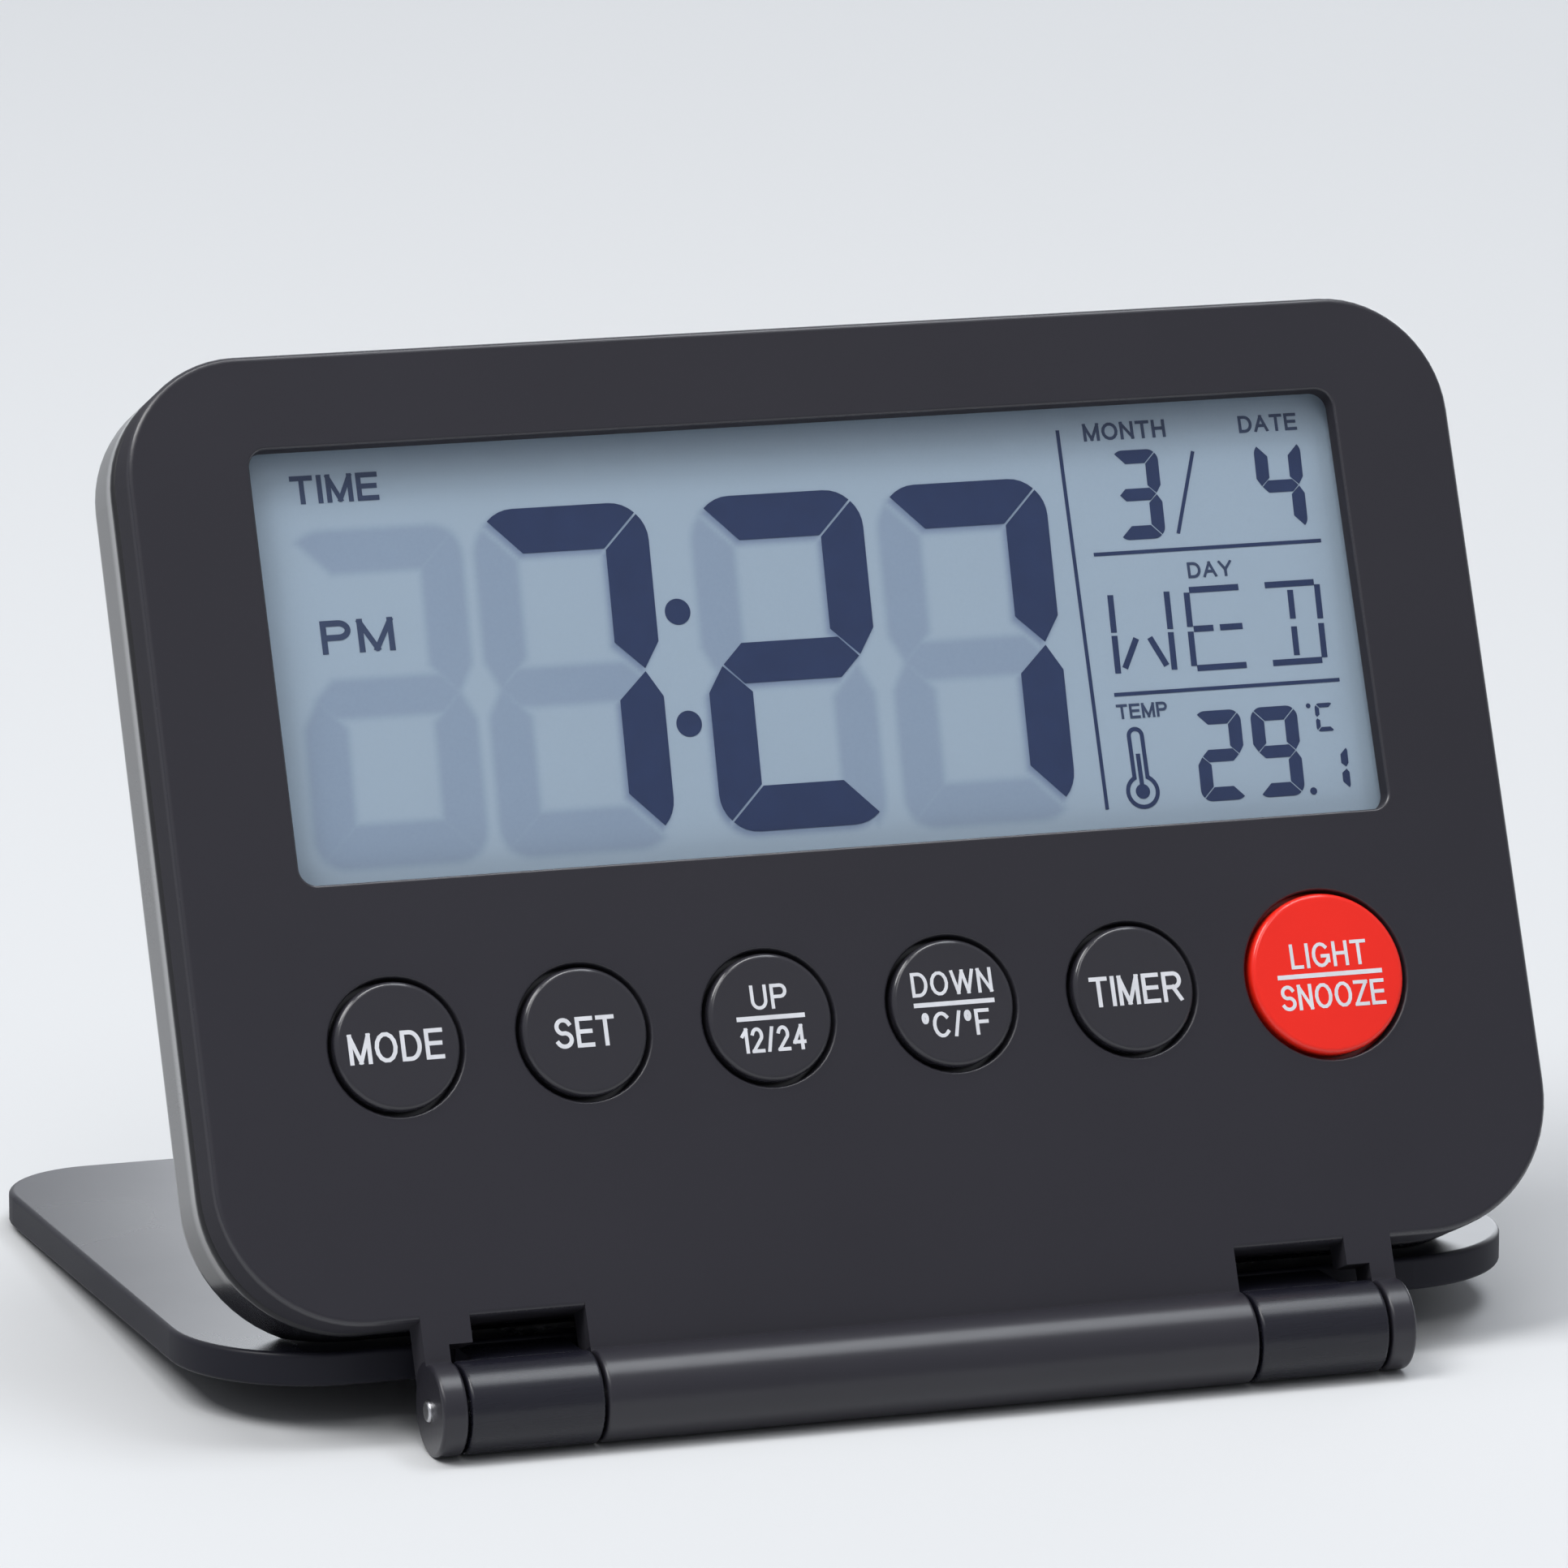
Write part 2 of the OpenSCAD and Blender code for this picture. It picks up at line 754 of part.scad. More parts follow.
// Clip that stands on the board and touches the cell's side
module contact_plus() {
    clip_x = cell_r + fit;
    foot_len = 3;
    color([0.85, 0.75, 0.45])
        case_frame() {
            face_box(clip_x, clip_x + contact_t, cell_y - contact_w / 2, cell_y + contact_w / 2,
                board_back, lug_front - seat);
            face_box(clip_x, clip_x + foot_len, cell_y - contact_w / 2, cell_y + contact_w / 2,
                board_back, board_back + contact_t);
        }
}

// Pad on the board with a step that reaches back to the cell
module contact_minus() {
    pad_len = 12;
    step_len = 5;
    color([0.85, 0.75, 0.45])
        case_frame() {
            face_box(-pad_len / 2, pad_len / 2, cell_y - contact_w / 2, cell_y + contact_w / 2,
                board_back, board_back + contact_t / 2);
            face_box(-step_len / 2, step_len / 2, cell_y - contact_w / 2, cell_y + contact_w / 2,
                board_back, cell_front - press);
        }
}

module piezo_buzzer() {
    color([0.8, 0.65, 0.3])
        case_frame() {
            face_rod([buzzer_x, buzzer_y], buzzer_r, buzzer_front, buzzer_back);
            face_rod([buzzer_x, buzzer_y], ceramic_r, buzzer_front - ceramic_t, buzzer_front);
        }
}

// A lead between two points of the face frame, with a drop of solder or glue at each end
module lead_run(a, b) {
    d = b - a;
    translate(a)
        rotate([0, acos(d[2] / norm(d)), atan2(d[1], d[0])])
            cylinder(r = lead_r, h = norm(d));
    for (end = [a, b])
        translate(end)
            sphere(r = lead_r + solder);
}

// Two leads from the buzzer's face to pads on the board
module buzzer_leads() {
    top = -(buzzer_front - ceramic_t - lead_r - solder - press);
    low = -(board_back + lead_r + solder + press);
    color([0.7, 0.15, 0.12])
        case_frame()
            for (i = [0, 1]) {
                from = [buzzer_x + lead_ends[i][0], buzzer_y + lead_ends[i][1]];
                to = [buzzer_x + lead_pads[i][0], buzzer_y + lead_pads[i][1]];
                bend = (from + 3 * to) / 4;
                lead_run([from[0], from[1], top], [bend[0], bend[1], low]);
                lead_run([bend[0], bend[1], low], [to[0], to[1], low]);
            }
}

// Screw whose head sits at a depth, with its shank running towards the front
module screw(at, shank_r, head_r, head_t, under_head, tip) {
    face_rod(at, head_r, under_head, under_head + head_t);
    face_rod(at, shank_r, tip, under_head + fit);
}

module case_screws() {
    color([0.7, 0.7, 0.72])
        case_frame()
            for (b = bosses)
                difference() {
                    screw(b, screw_r, screw_head_r, screw_head_t, screw_seat, boss_floor + fit);
                    drive_cross(b, screw_head_r, screw_seat + screw_head_t);
                }
}

// Cross recess for a driver, in a head that ends at a depth
module drive_cross(at, head_r, end) {
    blade = 0.45;
    deep = 0.6;
    rim = 0.65;
    reach = head_r - rim;
    for (turn = [0, 90])
        translate([at[0], at[1], 0])
            rotate([0, 0, turn])
                face_box(-reach, reach, -blade / 2, blade / 2, end - deep, end + cut);
}

module board_screws() {
    color([0.7, 0.7, 0.72])
        case_frame()
            for (p = posts)
                difference() {
                    screw(p, board_screw_r, board_head_r, board_head_t, board_back, boss_floor + fit);
                    drive_cross(p, board_head_r, board_back + board_head_t);
                }
}

// Steel pin from the end of the hinge inwards
module hinge_pin(side) {
    color([0.75, 0.75, 0.77])
        case_frame()
            mirror([side, 0, 0])
                translate([barrel_end - pin_len, 0, -axis_depth])
                    rotate([0, 90, 0])
                        rotate_extrude()
                            edge_profile(pin_r, pin_len + pin_proud, 0, pin_edge_r);
}

module hinge_pin_left() {
    hinge_pin(1);
}

module hinge_pin_right() {
    hinge_pin(0);
}

// Door with a sleeve round the cell, two lugs under the rear wall and a slot for a coin
module battery_door() {
    color([0.2, 0.2, 0.22])
        case_frame()
            translate([0, cell_y, 0])
                difference() {
                    union() {
                        face_rod([0, 0], door_r, door_in, case_t);
                        face_rod([0, 0], sleeve_out, lug_front, door_in + fit);
                        lug_ring(lug_r, lug_angle, 0, lug_front, lug_back);
                    }
                    face_rod([0, 0], sleeve_in, lug_front - cut, rear_in);
                    face_box(-coin_slot_len / 2, coin_slot_len / 2, -coin_slot_w / 2, coin_slot_w / 2,
                        case_t - coin_slot_deep, case_t + cut);
                }
}

// Cap with a rounded edge, a flange that holds it behind the wall, and a foot over its switch
module key(index, r) {
    flange_r = r + button_gap + flange_lip;
    case_frame()
        translate([key_xs[index], row_y, 0]) {
            translate([0, 0, -flange_front])
                rotate_extrude()
                    edge_profile(r, flange_front + button_proud, 0, button_edge_r);
            face_rod([0, 0], flange_r, flange_front, flange_back);
            face_rod([0, 0], plunger_r + 2 * seat, flange_back, key_back);
        }
}

module small_button(index) {
    color([0.12, 0.12, 0.13])
        key(index, button_r);
}

module mode_button() {
    small_button(0);
}

module set_button() {
    small_button(1);
}

module up_button() {
    small_button(2);
}

module down_button() {
    small_button(3);
}

module timer_button() {
    small_button(4);
}

module light_button() {
    color([0.85, 0.15, 0.1])
        key(button_count, light_r);
}

// Plunger of one switch
module plunger(index) {
    color([0.9, 0.9, 0.9])
        case_frame()
            face_rod([key_xs[index], row_y], plunger_r, plunger_front, plunger_front + plunger_len);
}

module mode_plunger() {
    plunger(0);
}

module set_plunger() {
    plunger(1);
}

module up_plunger() {
    plunger(2);
}

module down_plunger() {
    plunger(3);
}

module timer_plunger() {
    plunger(4);
}

module light_plunger() {
    plunger(button_count);
}

module cover() {
    color([0.17, 0.17, 0.18])
        cover_frame()
            difference() {
                union() {
                    translate([0, cover_from + cover_depth / 2, cover_in])
                        soft_block(cover_w, cover_depth, cover_r, cover_near_r, cover_t,
                            cover_edge_r, cover_edge_r);
                    for (side = [0, 1])
                        mirror([side, 0, 0]) {
                            barrel(knuckle_in, knuckle_out);
                            translate([arm_in, 0, cover_in + arm_inset])
                                cube([arm_w, cover_from + cover_edge_r, cover_t - 2 * arm_inset]);
                        }
                }
                translate([0, cover_from + cover_depth / 2, cover_in - cut])
                    soft_block(cover_w - 2 * cover_rim, cover_depth - 2 * cover_rim, cover_r - cover_rim,
                        cover_near_r - cover_rim, cover_recess + cut);
                for (side = [0, 1])
                    mirror([side, 0, 0])
                        translate([knuckle_in - cut, 0, 0])
                            rotate([0, 90, 0])
                                cylinder(r = pin_r + pin_play, h = knuckle_out - knuckle_in + 2 * cut);
            }
}

front_shell();
rear_shell();
display_window();
display_films();
display_glass();
light_guide();
side_lights();
display_frame();
contact_strip();
main_board();
clock_chip();
quartz_crystal();
temperature_sensor();
board_components();
switch_bodies();
coin_cell();
contact_plus();
contact_minus();
piezo_buzzer();
buzzer_leads();
case_screws();
board_screws();
hinge_pin_left();
hinge_pin_right();
battery_door();
mode_button();
set_button();
up_button();
down_button();
timer_button();
light_button();
mode_plunger();
set_plunger();
up_plunger();
down_plunger();
timer_plunger();
light_plunger();
cover();
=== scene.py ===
# %% [markdown]
# # A folding travel alarm clock
# The clock is a thin moulded case that leans back on its own cover. Its shells, keys, hinge and inner
# pieces come ready made from the CAD frame, at their real size. This lesson gives each of them its
# finish and adds what is printed or shown on them: the picture on the display and the marks on the keys.
# The frame could be rebuilt by hand, but loading it keeps every hinge and key where the real one is.

# %% Load the frame
import json
import math

import bpy
import numpy as np
from mathutils import Matrix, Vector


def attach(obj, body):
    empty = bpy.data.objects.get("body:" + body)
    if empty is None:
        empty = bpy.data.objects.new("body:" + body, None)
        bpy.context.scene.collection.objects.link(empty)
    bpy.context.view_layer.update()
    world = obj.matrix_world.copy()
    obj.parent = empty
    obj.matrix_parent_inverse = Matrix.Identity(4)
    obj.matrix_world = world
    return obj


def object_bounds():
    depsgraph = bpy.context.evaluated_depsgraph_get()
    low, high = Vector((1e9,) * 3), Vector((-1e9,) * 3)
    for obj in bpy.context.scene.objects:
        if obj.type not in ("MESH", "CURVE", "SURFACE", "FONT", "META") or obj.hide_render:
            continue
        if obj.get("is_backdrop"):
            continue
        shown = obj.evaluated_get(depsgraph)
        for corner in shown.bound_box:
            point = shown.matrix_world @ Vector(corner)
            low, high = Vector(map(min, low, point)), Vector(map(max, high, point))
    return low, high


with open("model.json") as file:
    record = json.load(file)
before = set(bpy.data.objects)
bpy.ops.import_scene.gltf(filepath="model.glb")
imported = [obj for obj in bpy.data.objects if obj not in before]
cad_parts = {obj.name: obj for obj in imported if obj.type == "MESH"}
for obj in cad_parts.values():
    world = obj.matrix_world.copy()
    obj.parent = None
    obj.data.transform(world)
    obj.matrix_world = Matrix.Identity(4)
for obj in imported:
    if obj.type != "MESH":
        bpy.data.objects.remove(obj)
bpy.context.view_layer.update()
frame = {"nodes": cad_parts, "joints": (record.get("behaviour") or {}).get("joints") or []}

MM = 0.001

# %% [markdown]
# ## The leaning face
# Everything printed or shown sits on the front of the case, which leans back. Working in the row frame
# would need a slanted number for every mark, so the lesson works in a face frame instead: across the
# face, up it from the hinge axis, and straight into it. The joints give its axes: a key is pressed
# straight in, and the cover turns about the hinge. The frame could also be read from a face's normal,
# but the joints are exact.

# %% Find the face frame
joints = {joint["name"]: joint for joint in frame["joints"]}
hinge_point = np.array(joints["cover_hinge"]["pos_m"])
across = np.array([1.0, 0.0, 0.0])
inward = np.array(joints["mode_press"]["axis"])
inward /= np.linalg.norm(inward)
upward = np.cross(across, inward)
face_axes = np.stack([across, upward, inward])


def on_face(points):
    """Rows of (across, up, in), in mm from the hinge axis, as points of the row frame:
    hinge + across * a + upward * u + inward * d."""
    return hinge_point + np.asarray(points) * MM @ face_axes


def face_extent(node):
    """The lowest and highest (across, up, in) of a CAD node, in mm from the hinge axis."""
    mesh = frame["nodes"][node].data
    flat = np.empty(3 * len(mesh.vertices), np.float32)
    mesh.vertices.foreach_get("co", flat)
    local = (flat.reshape(-1, 3) - hinge_point) @ face_axes.T / MM
    return local.min(axis=0), local.max(axis=0)


lean = math.degrees(math.atan2(upward[1], upward[2]))
print(f"the face leans back {lean:.2f} degrees")

# %% [markdown]
# ## The camera
# A long lens from the lower left of the face's own axis shows the case nearly without perspective, with
# the hinge rising to the right. A camera can be aimed by a constraint, but its matrix is short to work
# out: one axis looks along the view, one points right, and a small roll turns both about the view.

# %% Aim the camera
CAMERA_AT = np.array([-266.95, -734.02, 247.65]) * MM
CAMERA_LOOKS_AT = np.array([-5.22, -14.01, 45.40]) * MM
CAMERA_ROLL = math.radians(-1.281)
SENSOR_MM = 36.0
LENS_MM = 233.7


def looking_matrix(place, target, roll=0.0):
    """Columns are right, up, back and place. Back is the unit vector from target to place, right is level
    before the roll, and the roll turns right and up about back."""
    back = place - target
    back = back / np.linalg.norm(back)
    right = np.cross([0.0, 0.0, 1.0], back)
    right /= np.linalg.norm(right)
    up = np.cross(back, right)
    matrix = np.eye(4)
    matrix[:3, 0] = right * math.cos(roll) - up * math.sin(roll)
    matrix[:3, 1] = up * math.cos(roll) + right * math.sin(roll)
    matrix[:3, 2] = back
    matrix[:3, 3] = place
    return matrix


camera_data = bpy.data.cameras.new("camera")
camera_data.sensor_width = SENSOR_MM
camera_data.lens = LENS_MM
camera = bpy.data.objects.new("camera", camera_data)
bpy.context.scene.collection.objects.link(camera)
camera.matrix_world = Matrix(looking_matrix(CAMERA_AT, CAMERA_LOOKS_AT, CAMERA_ROLL).tolist())
bpy.context.scene.camera = camera
print("camera distance in mm:", round(np.linalg.norm(CAMERA_AT - CAMERA_LOOKS_AT) / MM, 1))

# %% [markdown]
# ## Shader arithmetic
# A finish is a small network of nodes. Wiring each node by hand hides the idea behind clicks, so one
# class wraps a socket: Python's own operators add the Math nodes, and one method adds any other node.
# The same class serves the materials and the world.


# %% Wrap a socket
class Signal:
    """A socket with Python's operators. An expression on signals adds the Math nodes that work it out."""

    def __init__(self, tree, socket=None):
        self.tree = tree
        self.socket = socket

    def node(self, kind, settings=None, inputs=None, output=0):
        """Adds a node of a type, with its settings first, then the values or links of its sockets."""
        made = self.tree.nodes.new(kind)
        for key, value in (settings or {}).items():
            setattr(made, key, value)
        for key, value in (inputs or {}).items():
            if isinstance(value, Signal):
                self.tree.links.new(value.socket, made.inputs[key])
            else:
                made.inputs[key].default_value = value
        return Signal(self.tree, made.outputs[output])

    def math(self, operation, first, second=0.0):
        return self.node("ShaderNodeMath", {"operation": operation}, {0: first, 1: second})

    def __add__(self, other):
        return self.math("ADD", self, other)

    def __radd__(self, other):
        return self.math("ADD", other, self)

    def __sub__(self, other):
        return self.math("SUBTRACT", self, other)

    def __rsub__(self, other):
        return self.math("SUBTRACT", other, self)

    def __mul__(self, other):
        return self.math("MULTIPLY", self, other)

    def __rmul__(self, other):
        return self.math("MULTIPLY", other, self)

    def __pow__(self, power):
        return self.math("POWER", self, power)

    def clip(self):
        """The value held between 0 and 1."""
        return self.node("ShaderNodeClamp", inputs={"Value": self})

    def between(self, first, second):
        """A colour from first, where the value is 0, to second, where it is 1."""
        return self.node(
            "ShaderNodeMix", {"data_type": "RGBA"}, {0: self, 6: first, 7: second}, output=2
        )


print("signals know:", ", ".join(name for name in dir(Signal) if not name.startswith("__")))

# %% [markdown]
# ## A finish
# A finish starts as a new material, whose Principled shader is the surface. Its pattern is noise in the
# piece's own millimetres, so that lumps and grain have their real size. A picture would have to be unwrapped
# onto each piece, but noise in space fits any shape and has no seam.


# %% Start a finish
def new_finish(name):
    """A new material, its Principled shader, and a signal to build the network from."""
    material = bpy.data.materials.new(name)
    material.use_nodes = True
    return material, material.node_tree.nodes["Principled BSDF"], Signal(material.node_tree)


def dress(shader, values):
    """Links signals to a shader's sockets, and sets plain values on them."""
    for key, value in values.items():
        if isinstance(value, Signal):
            value.tree.links.new(value.socket, shader.inputs[key])
        else:
            shader.inputs[key].default_value = value


def in_mm(start, stretch=(1.0, 1.0, 1.0)):
    """The piece's own coordinates in millimetres, each times a stretch."""
    place = start.node("ShaderNodeTexCoord", output="Object")
    factors = tuple(part / MM for part in stretch)
    return start.node("ShaderNodeVectorMath", {"operation": "MULTIPLY"}, {0: place, 1: factors})


def noise(start, place, per_mm, detail=2.0):
    """Soft noise between 0 and 1, with so many lumps to a millimetre."""
    return start.node("ShaderNodeTexNoise", inputs={"Vector": place, "Scale": per_mm, "Detail": detail})


def drift(pattern, amount):
    """A pattern between 0 and 1 as a change of so much in all, half of it down: amount * (pattern - 1/2)."""
    return amount * (pattern - 0.5)


def raised(start, height, depth, strength):
    """A normal for a surface that a height between 0 and 1 lifts by a depth in metres."""
    return start.node("ShaderNodeBump", inputs={"Strength": strength, "Distance": depth, "Height": height})


def tint(colour, share=1.0):
    """A colour times a share, with its alpha."""
    return tuple(share * part for part in colour) + (1.0,)


def toned(pattern, colour, spread):
    """A colour that is darker by a spread where the pattern is 0, and lighter by it where it is 1."""
    return pattern.between(tint(colour, 1.0 - spread), tint(colour, 1.0 + spread))


print("twice a dark grey:", tint((0.1, 0.1, 0.1), 2.0))

# %% [markdown]
# ## Stage and light
# The clock stands on a plain pale floor in soft light from all round. The main lamp is high on the left and
# draws a bright arc on each key, which a strip overhead carries on. Another fills the face from the front,
# one high on the right draws the line along the hinge, and a low one behind shines along the cover. A
# backdrop wall would hide the clock from behind, so the floor is a wide disc and the world is pale too, and
# greyer on the camera's side, where a studio is dark. The world lights the clock at a plain level, and only
# what the camera or a shiny surface sees of it is paler.

# %% Lay the floor and light it
FLOOR_R = 4.0
FLOOR_RINGS = 2
FLOOR_SPOKES = 96
FLOOR_MOTTLE_PER_MM = 0.003
FLOOR_MOTTLE = 0.985
FLOOR_ROUGH = 0.8
FLOOR_COLOUR = (0.705, 0.717, 0.73)
WORLD_FRONT = (0.38, 0.39, 0.42, 1.0)
WORLD_BACK = (0.58, 0.60, 0.64, 1.0)
WORLD_LIGHT = (0.25, 0.255, 0.27, 1.0)
WHITE = (1.0, 1.0, 1.0)
COOL = (0.91, 0.95, 1.0)
LAMPS = {
    "key_lamp": {"at": (-0.82, -0.2, 1.36), "size": (0.75, 0.75), "watts": 14.2, "colour": WHITE},
    "front_lamp": {"at": (-0.25, -0.95, 1.45), "size": (0.7, 0.7), "watts": 4.2, "colour": WHITE},
    "top_lamp": {"at": (-0.005, -0.1, 1.5), "size": (0.65, 0.25), "watts": 4.4, "colour": WHITE},
    "hinge_lamp": {"at": (0.53, -0.08, 1.5), "size": (0.9, 0.35), "watts": 5.8, "colour": COOL},
    "back_lamp": {"at": (0.79, 1.055, 0.25), "size": (1.1, 0.5), "watts": 4.6, "colour": COOL},
}


def link(name, data):
    """A new object at the origin, in the scene."""
    made = bpy.data.objects.new(name, data)
    bpy.context.scene.collection.objects.link(made)
    return made


def floor_mesh():
    """A flat disc: ring i and spoke k give (r cos t, r sin t, 0), r = R i / rings, t = 2 pi k / spokes."""
    ring = np.arange(1, FLOOR_RINGS + 1) / FLOOR_RINGS * FLOOR_R
    turn = np.arange(FLOOR_SPOKES) / FLOOR_SPOKES * 2 * np.pi
    r, t = np.meshgrid(ring, turn, indexing="ij")
    points = np.column_stack([(r * np.cos(t)).ravel(), (r * np.sin(t)).ravel(), np.zeros(r.size)])
    index = np.arange(r.size).reshape(r.shape)
    after = np.roll(index, -1, axis=1)
    quads = np.stack([index[:-1], index[1:], after[1:], after[:-1]], axis=-1).reshape(-1, 4)
    mesh = bpy.data.meshes.new("floor")
    mesh.from_pydata(points.tolist(), [], [index[0].tolist()] + quads.tolist())
    return mesh


def floor_finish():
    """Plain pale paper with a faint mottle."""
    material, shader, start = new_finish("floor_paper")
    mottle = noise(start, in_mm(start), FLOOR_MOTTLE_PER_MM)
    colour = mottle.between(tint(FLOOR_COLOUR, FLOOR_MOTTLE), tint(FLOOR_COLOUR))
    dress(shader, {"Base Color": colour, "Roughness": FLOOR_ROUGH, "Specular IOR Level": 0.0})
    return material


floor = link("floor", floor_mesh())
floor.data.materials.append(floor_finish())
floor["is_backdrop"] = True

world = bpy.data.worlds.new("studio")
world.use_nodes = True
bpy.context.scene.world = world
sky = Signal(world.node_tree)
rays = [
    sky.node("ShaderNodeLightPath", output=ray)
    for ray in ("Is Camera Ray", "Is Glossy Ray", "Is Transmission Ray")
]
direction = sky.node("ShaderNodeTexCoord", output="Generated")
# 0 on the camera's side, and 1 behind the clock
behind = 0.5 + 0.5 * sky.node("ShaderNodeSeparateXYZ", inputs={0: direction}, output="Y")
seen_colour = behind.between(WORLD_FRONT, WORLD_BACK)
sky_colour = (rays[0] + rays[1] + rays[2]).clip().between(WORLD_LIGHT, seen_colour)
background = world.node_tree.nodes["Background"]
world.node_tree.links.new(sky_colour.socket, background.inputs["Color"])

for name, lamp in LAMPS.items():
    lamp_data = bpy.data.lights.new(name, "AREA")
    lamp_data.shape = "RECTANGLE"
    lamp_data.size, lamp_data.size_y = lamp["size"]
    lamp_data.energy = lamp["watts"]
    lamp_data.color = lamp["colour"]
    lamp_object = link(name, lamp_data)
    lamp_object.matrix_world = Matrix(looking_matrix(np.array(lamp["at"]), CAMERA_LOOKS_AT).tolist())
    lamp_object.visible_camera = False

bpy.context.scene.view_settings.view_transform = "Standard"
print("stage: a floor", 2 * FLOOR_R, "m across, and", ", ".join(LAMPS))

# %% [markdown]
# ## Where plastic is smooth
# A moulded shell isn't alike all over. The mould's sliding cores and use have polished the hinge's barrels,
# and the rear shell has a polished rim behind the groove round the case. These places could be pieces of
# their own, but a mask keeps the shell whole: a value that is 1 there and 0 elsewhere, worked out from each
# point's place or normal.

# %% Find the smooth places
BARREL_REACH = 3.75
# Depths behind the hinge axis, in mm, and how softly each one ends
GROOVE_END, GROOVE_SOFT = 4.55, 0.2
LIP_END, LIP_SOFT = 5.4, 0.8
RIM_END, RIM_SOFT = 9.7, 0.5


def near_hinge(start):
    """1 within reach of the hinge axis, in mm, and 0 past it: (y - hy)^2 + (z - hz)^2 < reach^2."""
    place = in_mm(start)
    y, z = [start.node("ShaderNodeSeparateXYZ", inputs={0: place}, output=axis) for axis in ("Y", "Z")]
    back = y - hinge_point[1] / MM
    up = z - hinge_point[2] / MM
    return start.math("LESS_THAN", back * back + up * up, BARREL_REACH**2)


def part_along(start, vector, way):
    """How far a vector reaches along a unit vector: their dot product."""
    sockets = {0: vector, 1: tuple(way)}
    return start.node("ShaderNodeVectorMath", {"operation": "DOT_PRODUCT"}, sockets, output="Value")


def before_depth(start, depth, soft):
    """1 in front of a depth behind the hinge axis, in mm, and 0 from a soft step past it."""
    reach = part_along(start, in_mm(start), inward)
    return (1 / soft * (depth + soft + hinge_point @ inward / MM - reach)).clip()


print("the rim is", round(RIM_END - GROOVE_END, 2), "mm deep")

# %% [markdown]
# ## Moulded plastic
# The case, the cover, the battery door and the keys are moulded in charcoal plastic. The mould is etched,
# so the faces carry a fine grain that keeps them dull, and the tone drifts a little from place to place. A
# flat grey would look like paint. The barrels have faint marks along them, the walls are duller than the
# broad faces, and the rounded edges of the front catch a line of light. The specular level could do that,
# but an exported model has only one number for it, so the weight of a clear coat varies instead.

# %% Mould the plastics
CLOUD_PER_MM = 0.05
CLOUD_DETAIL = 3.0
CLOUD_TONE = 0.1
CLOUD_ROUGH = 0.1
GRAIN_PER_MM = 3.2
GRAIN_DEPTH = 0.012 * MM
GRAIN_ROUGH = 0.08
BARREL_COAT = 0.42
BARREL_GRAIN = 0.05
MARK_STRETCH = (0.25, 3.0, 3.0)
MARK_ROUGH = 0.12
EDGE_POLISH = 0.5
RIM_POLISH = 0.2
RIM_COAT = 0.4
RIM_COAT_IOR = 1.8
LIP_COAT = 0.6
SHELL_COLOUR = (0.0215, 0.0205, 0.0275)
REAR_COLOUR = (0.018, 0.018, 0.021)
COVER_COLOUR = (0.0105, 0.0105, 0.017)
KEY_COLOUR = (0.0235, 0.0225, 0.029)
RED_COLOUR = (0.88, 0.020, 0.009)


def moulded_plastic(name, colour, rough, grain, specular=0.35, barrel_rough=None, broad=None,
                    dull_walls=0.0, glossy_edges=0.0, glossy_face=0.0, polished_rim=False, coat_rough=0.15):
    """Etched plastic: the tone drifts with slow noise, and fine noise raises the grain. The hinge's barrels
    are smoother. With f as the part of the normal along the broad face's own, walls are duller than that face
    by dull_walls (1 - f^2), the face has a coat of glossy_face f^2, and rounded edges are glossier by
    glossy_edges 4 f^2 (1 - f^2). A polished rim lies between the groove and the back face, and is glossiest
    on its lip."""
    material, shader, start = new_finish(name)
    cloud = noise(start, in_mm(start), CLOUD_PER_MM, CLOUD_DETAIL)
    etched = noise(start, in_mm(start), GRAIN_PER_MM)
    roughness = rough + drift(cloud, CLOUD_ROUGH) + drift(etched, GRAIN_ROUGH * grain)
    height = etched
    coats = []
    barrel = 0.0
    if barrel_rough is not None:
        barrel = near_hinge(start)
        height = etched * (1.0 - (1.0 - BARREL_GRAIN) * barrel)
        coats.append(BARREL_COAT * barrel)
    if broad is not None:
        facing = part_along(start, start.node("ShaderNodeTexCoord", output="Normal"), broad)
        squared = facing * facing
        roughness = roughness + dull_walls * (1.0 - squared)
        if glossy_face:
            coats.append(glossy_face * squared * (1.0 - barrel))
        if glossy_edges:
            edges = 4.0 * glossy_edges * squared * (1.0 - squared) * (1.0 - barrel)
            roughness = roughness - EDGE_POLISH * edges
            coats.append(edges)
    if barrel_rough is not None:
        marks = noise(start, in_mm(start, MARK_STRETCH), 1.0)
        polished = barrel_rough + drift(marks, MARK_ROUGH)
        roughness = roughness + barrel * (polished - roughness)
    if polished_rim:
        groove = before_depth(start, GROOVE_END, GROOVE_SOFT)
        rim = before_depth(start, RIM_END, RIM_SOFT) - groove
        lip = before_depth(start, LIP_END, LIP_SOFT) - groove
        roughness = roughness - RIM_POLISH * rim
        height = etched * (1.0 - rim)
        coats.append(RIM_COAT * rim + LIP_COAT * lip)
        dress(shader, {"Coat IOR": RIM_COAT_IOR})
    if coats:
        dress(shader, {"Coat Weight": sum(coats), "Coat Roughness": coat_rough})
    dress(
        shader,
        {
            "Base Color": toned(cloud, colour, CLOUD_TONE),
            "Roughness": roughness,
            "Normal": raised(start, height, GRAIN_DEPTH, grain),
            "Specular IOR Level": specular,
        },
    )
    return material


print("plastic has", GRAIN_PER_MM, "lumps of grain to a millimetre")

# %% [markdown]
# ## Which piece is of which plastic
# The shells, the cover and the keys come from different moulds, so each has its own tone, gloss and grain.
# One plastic for all would be simpler, but the cover mirrors the light and the front hardly does. A CAD
# piece keeps its mesh, and only the material in its slot is replaced.


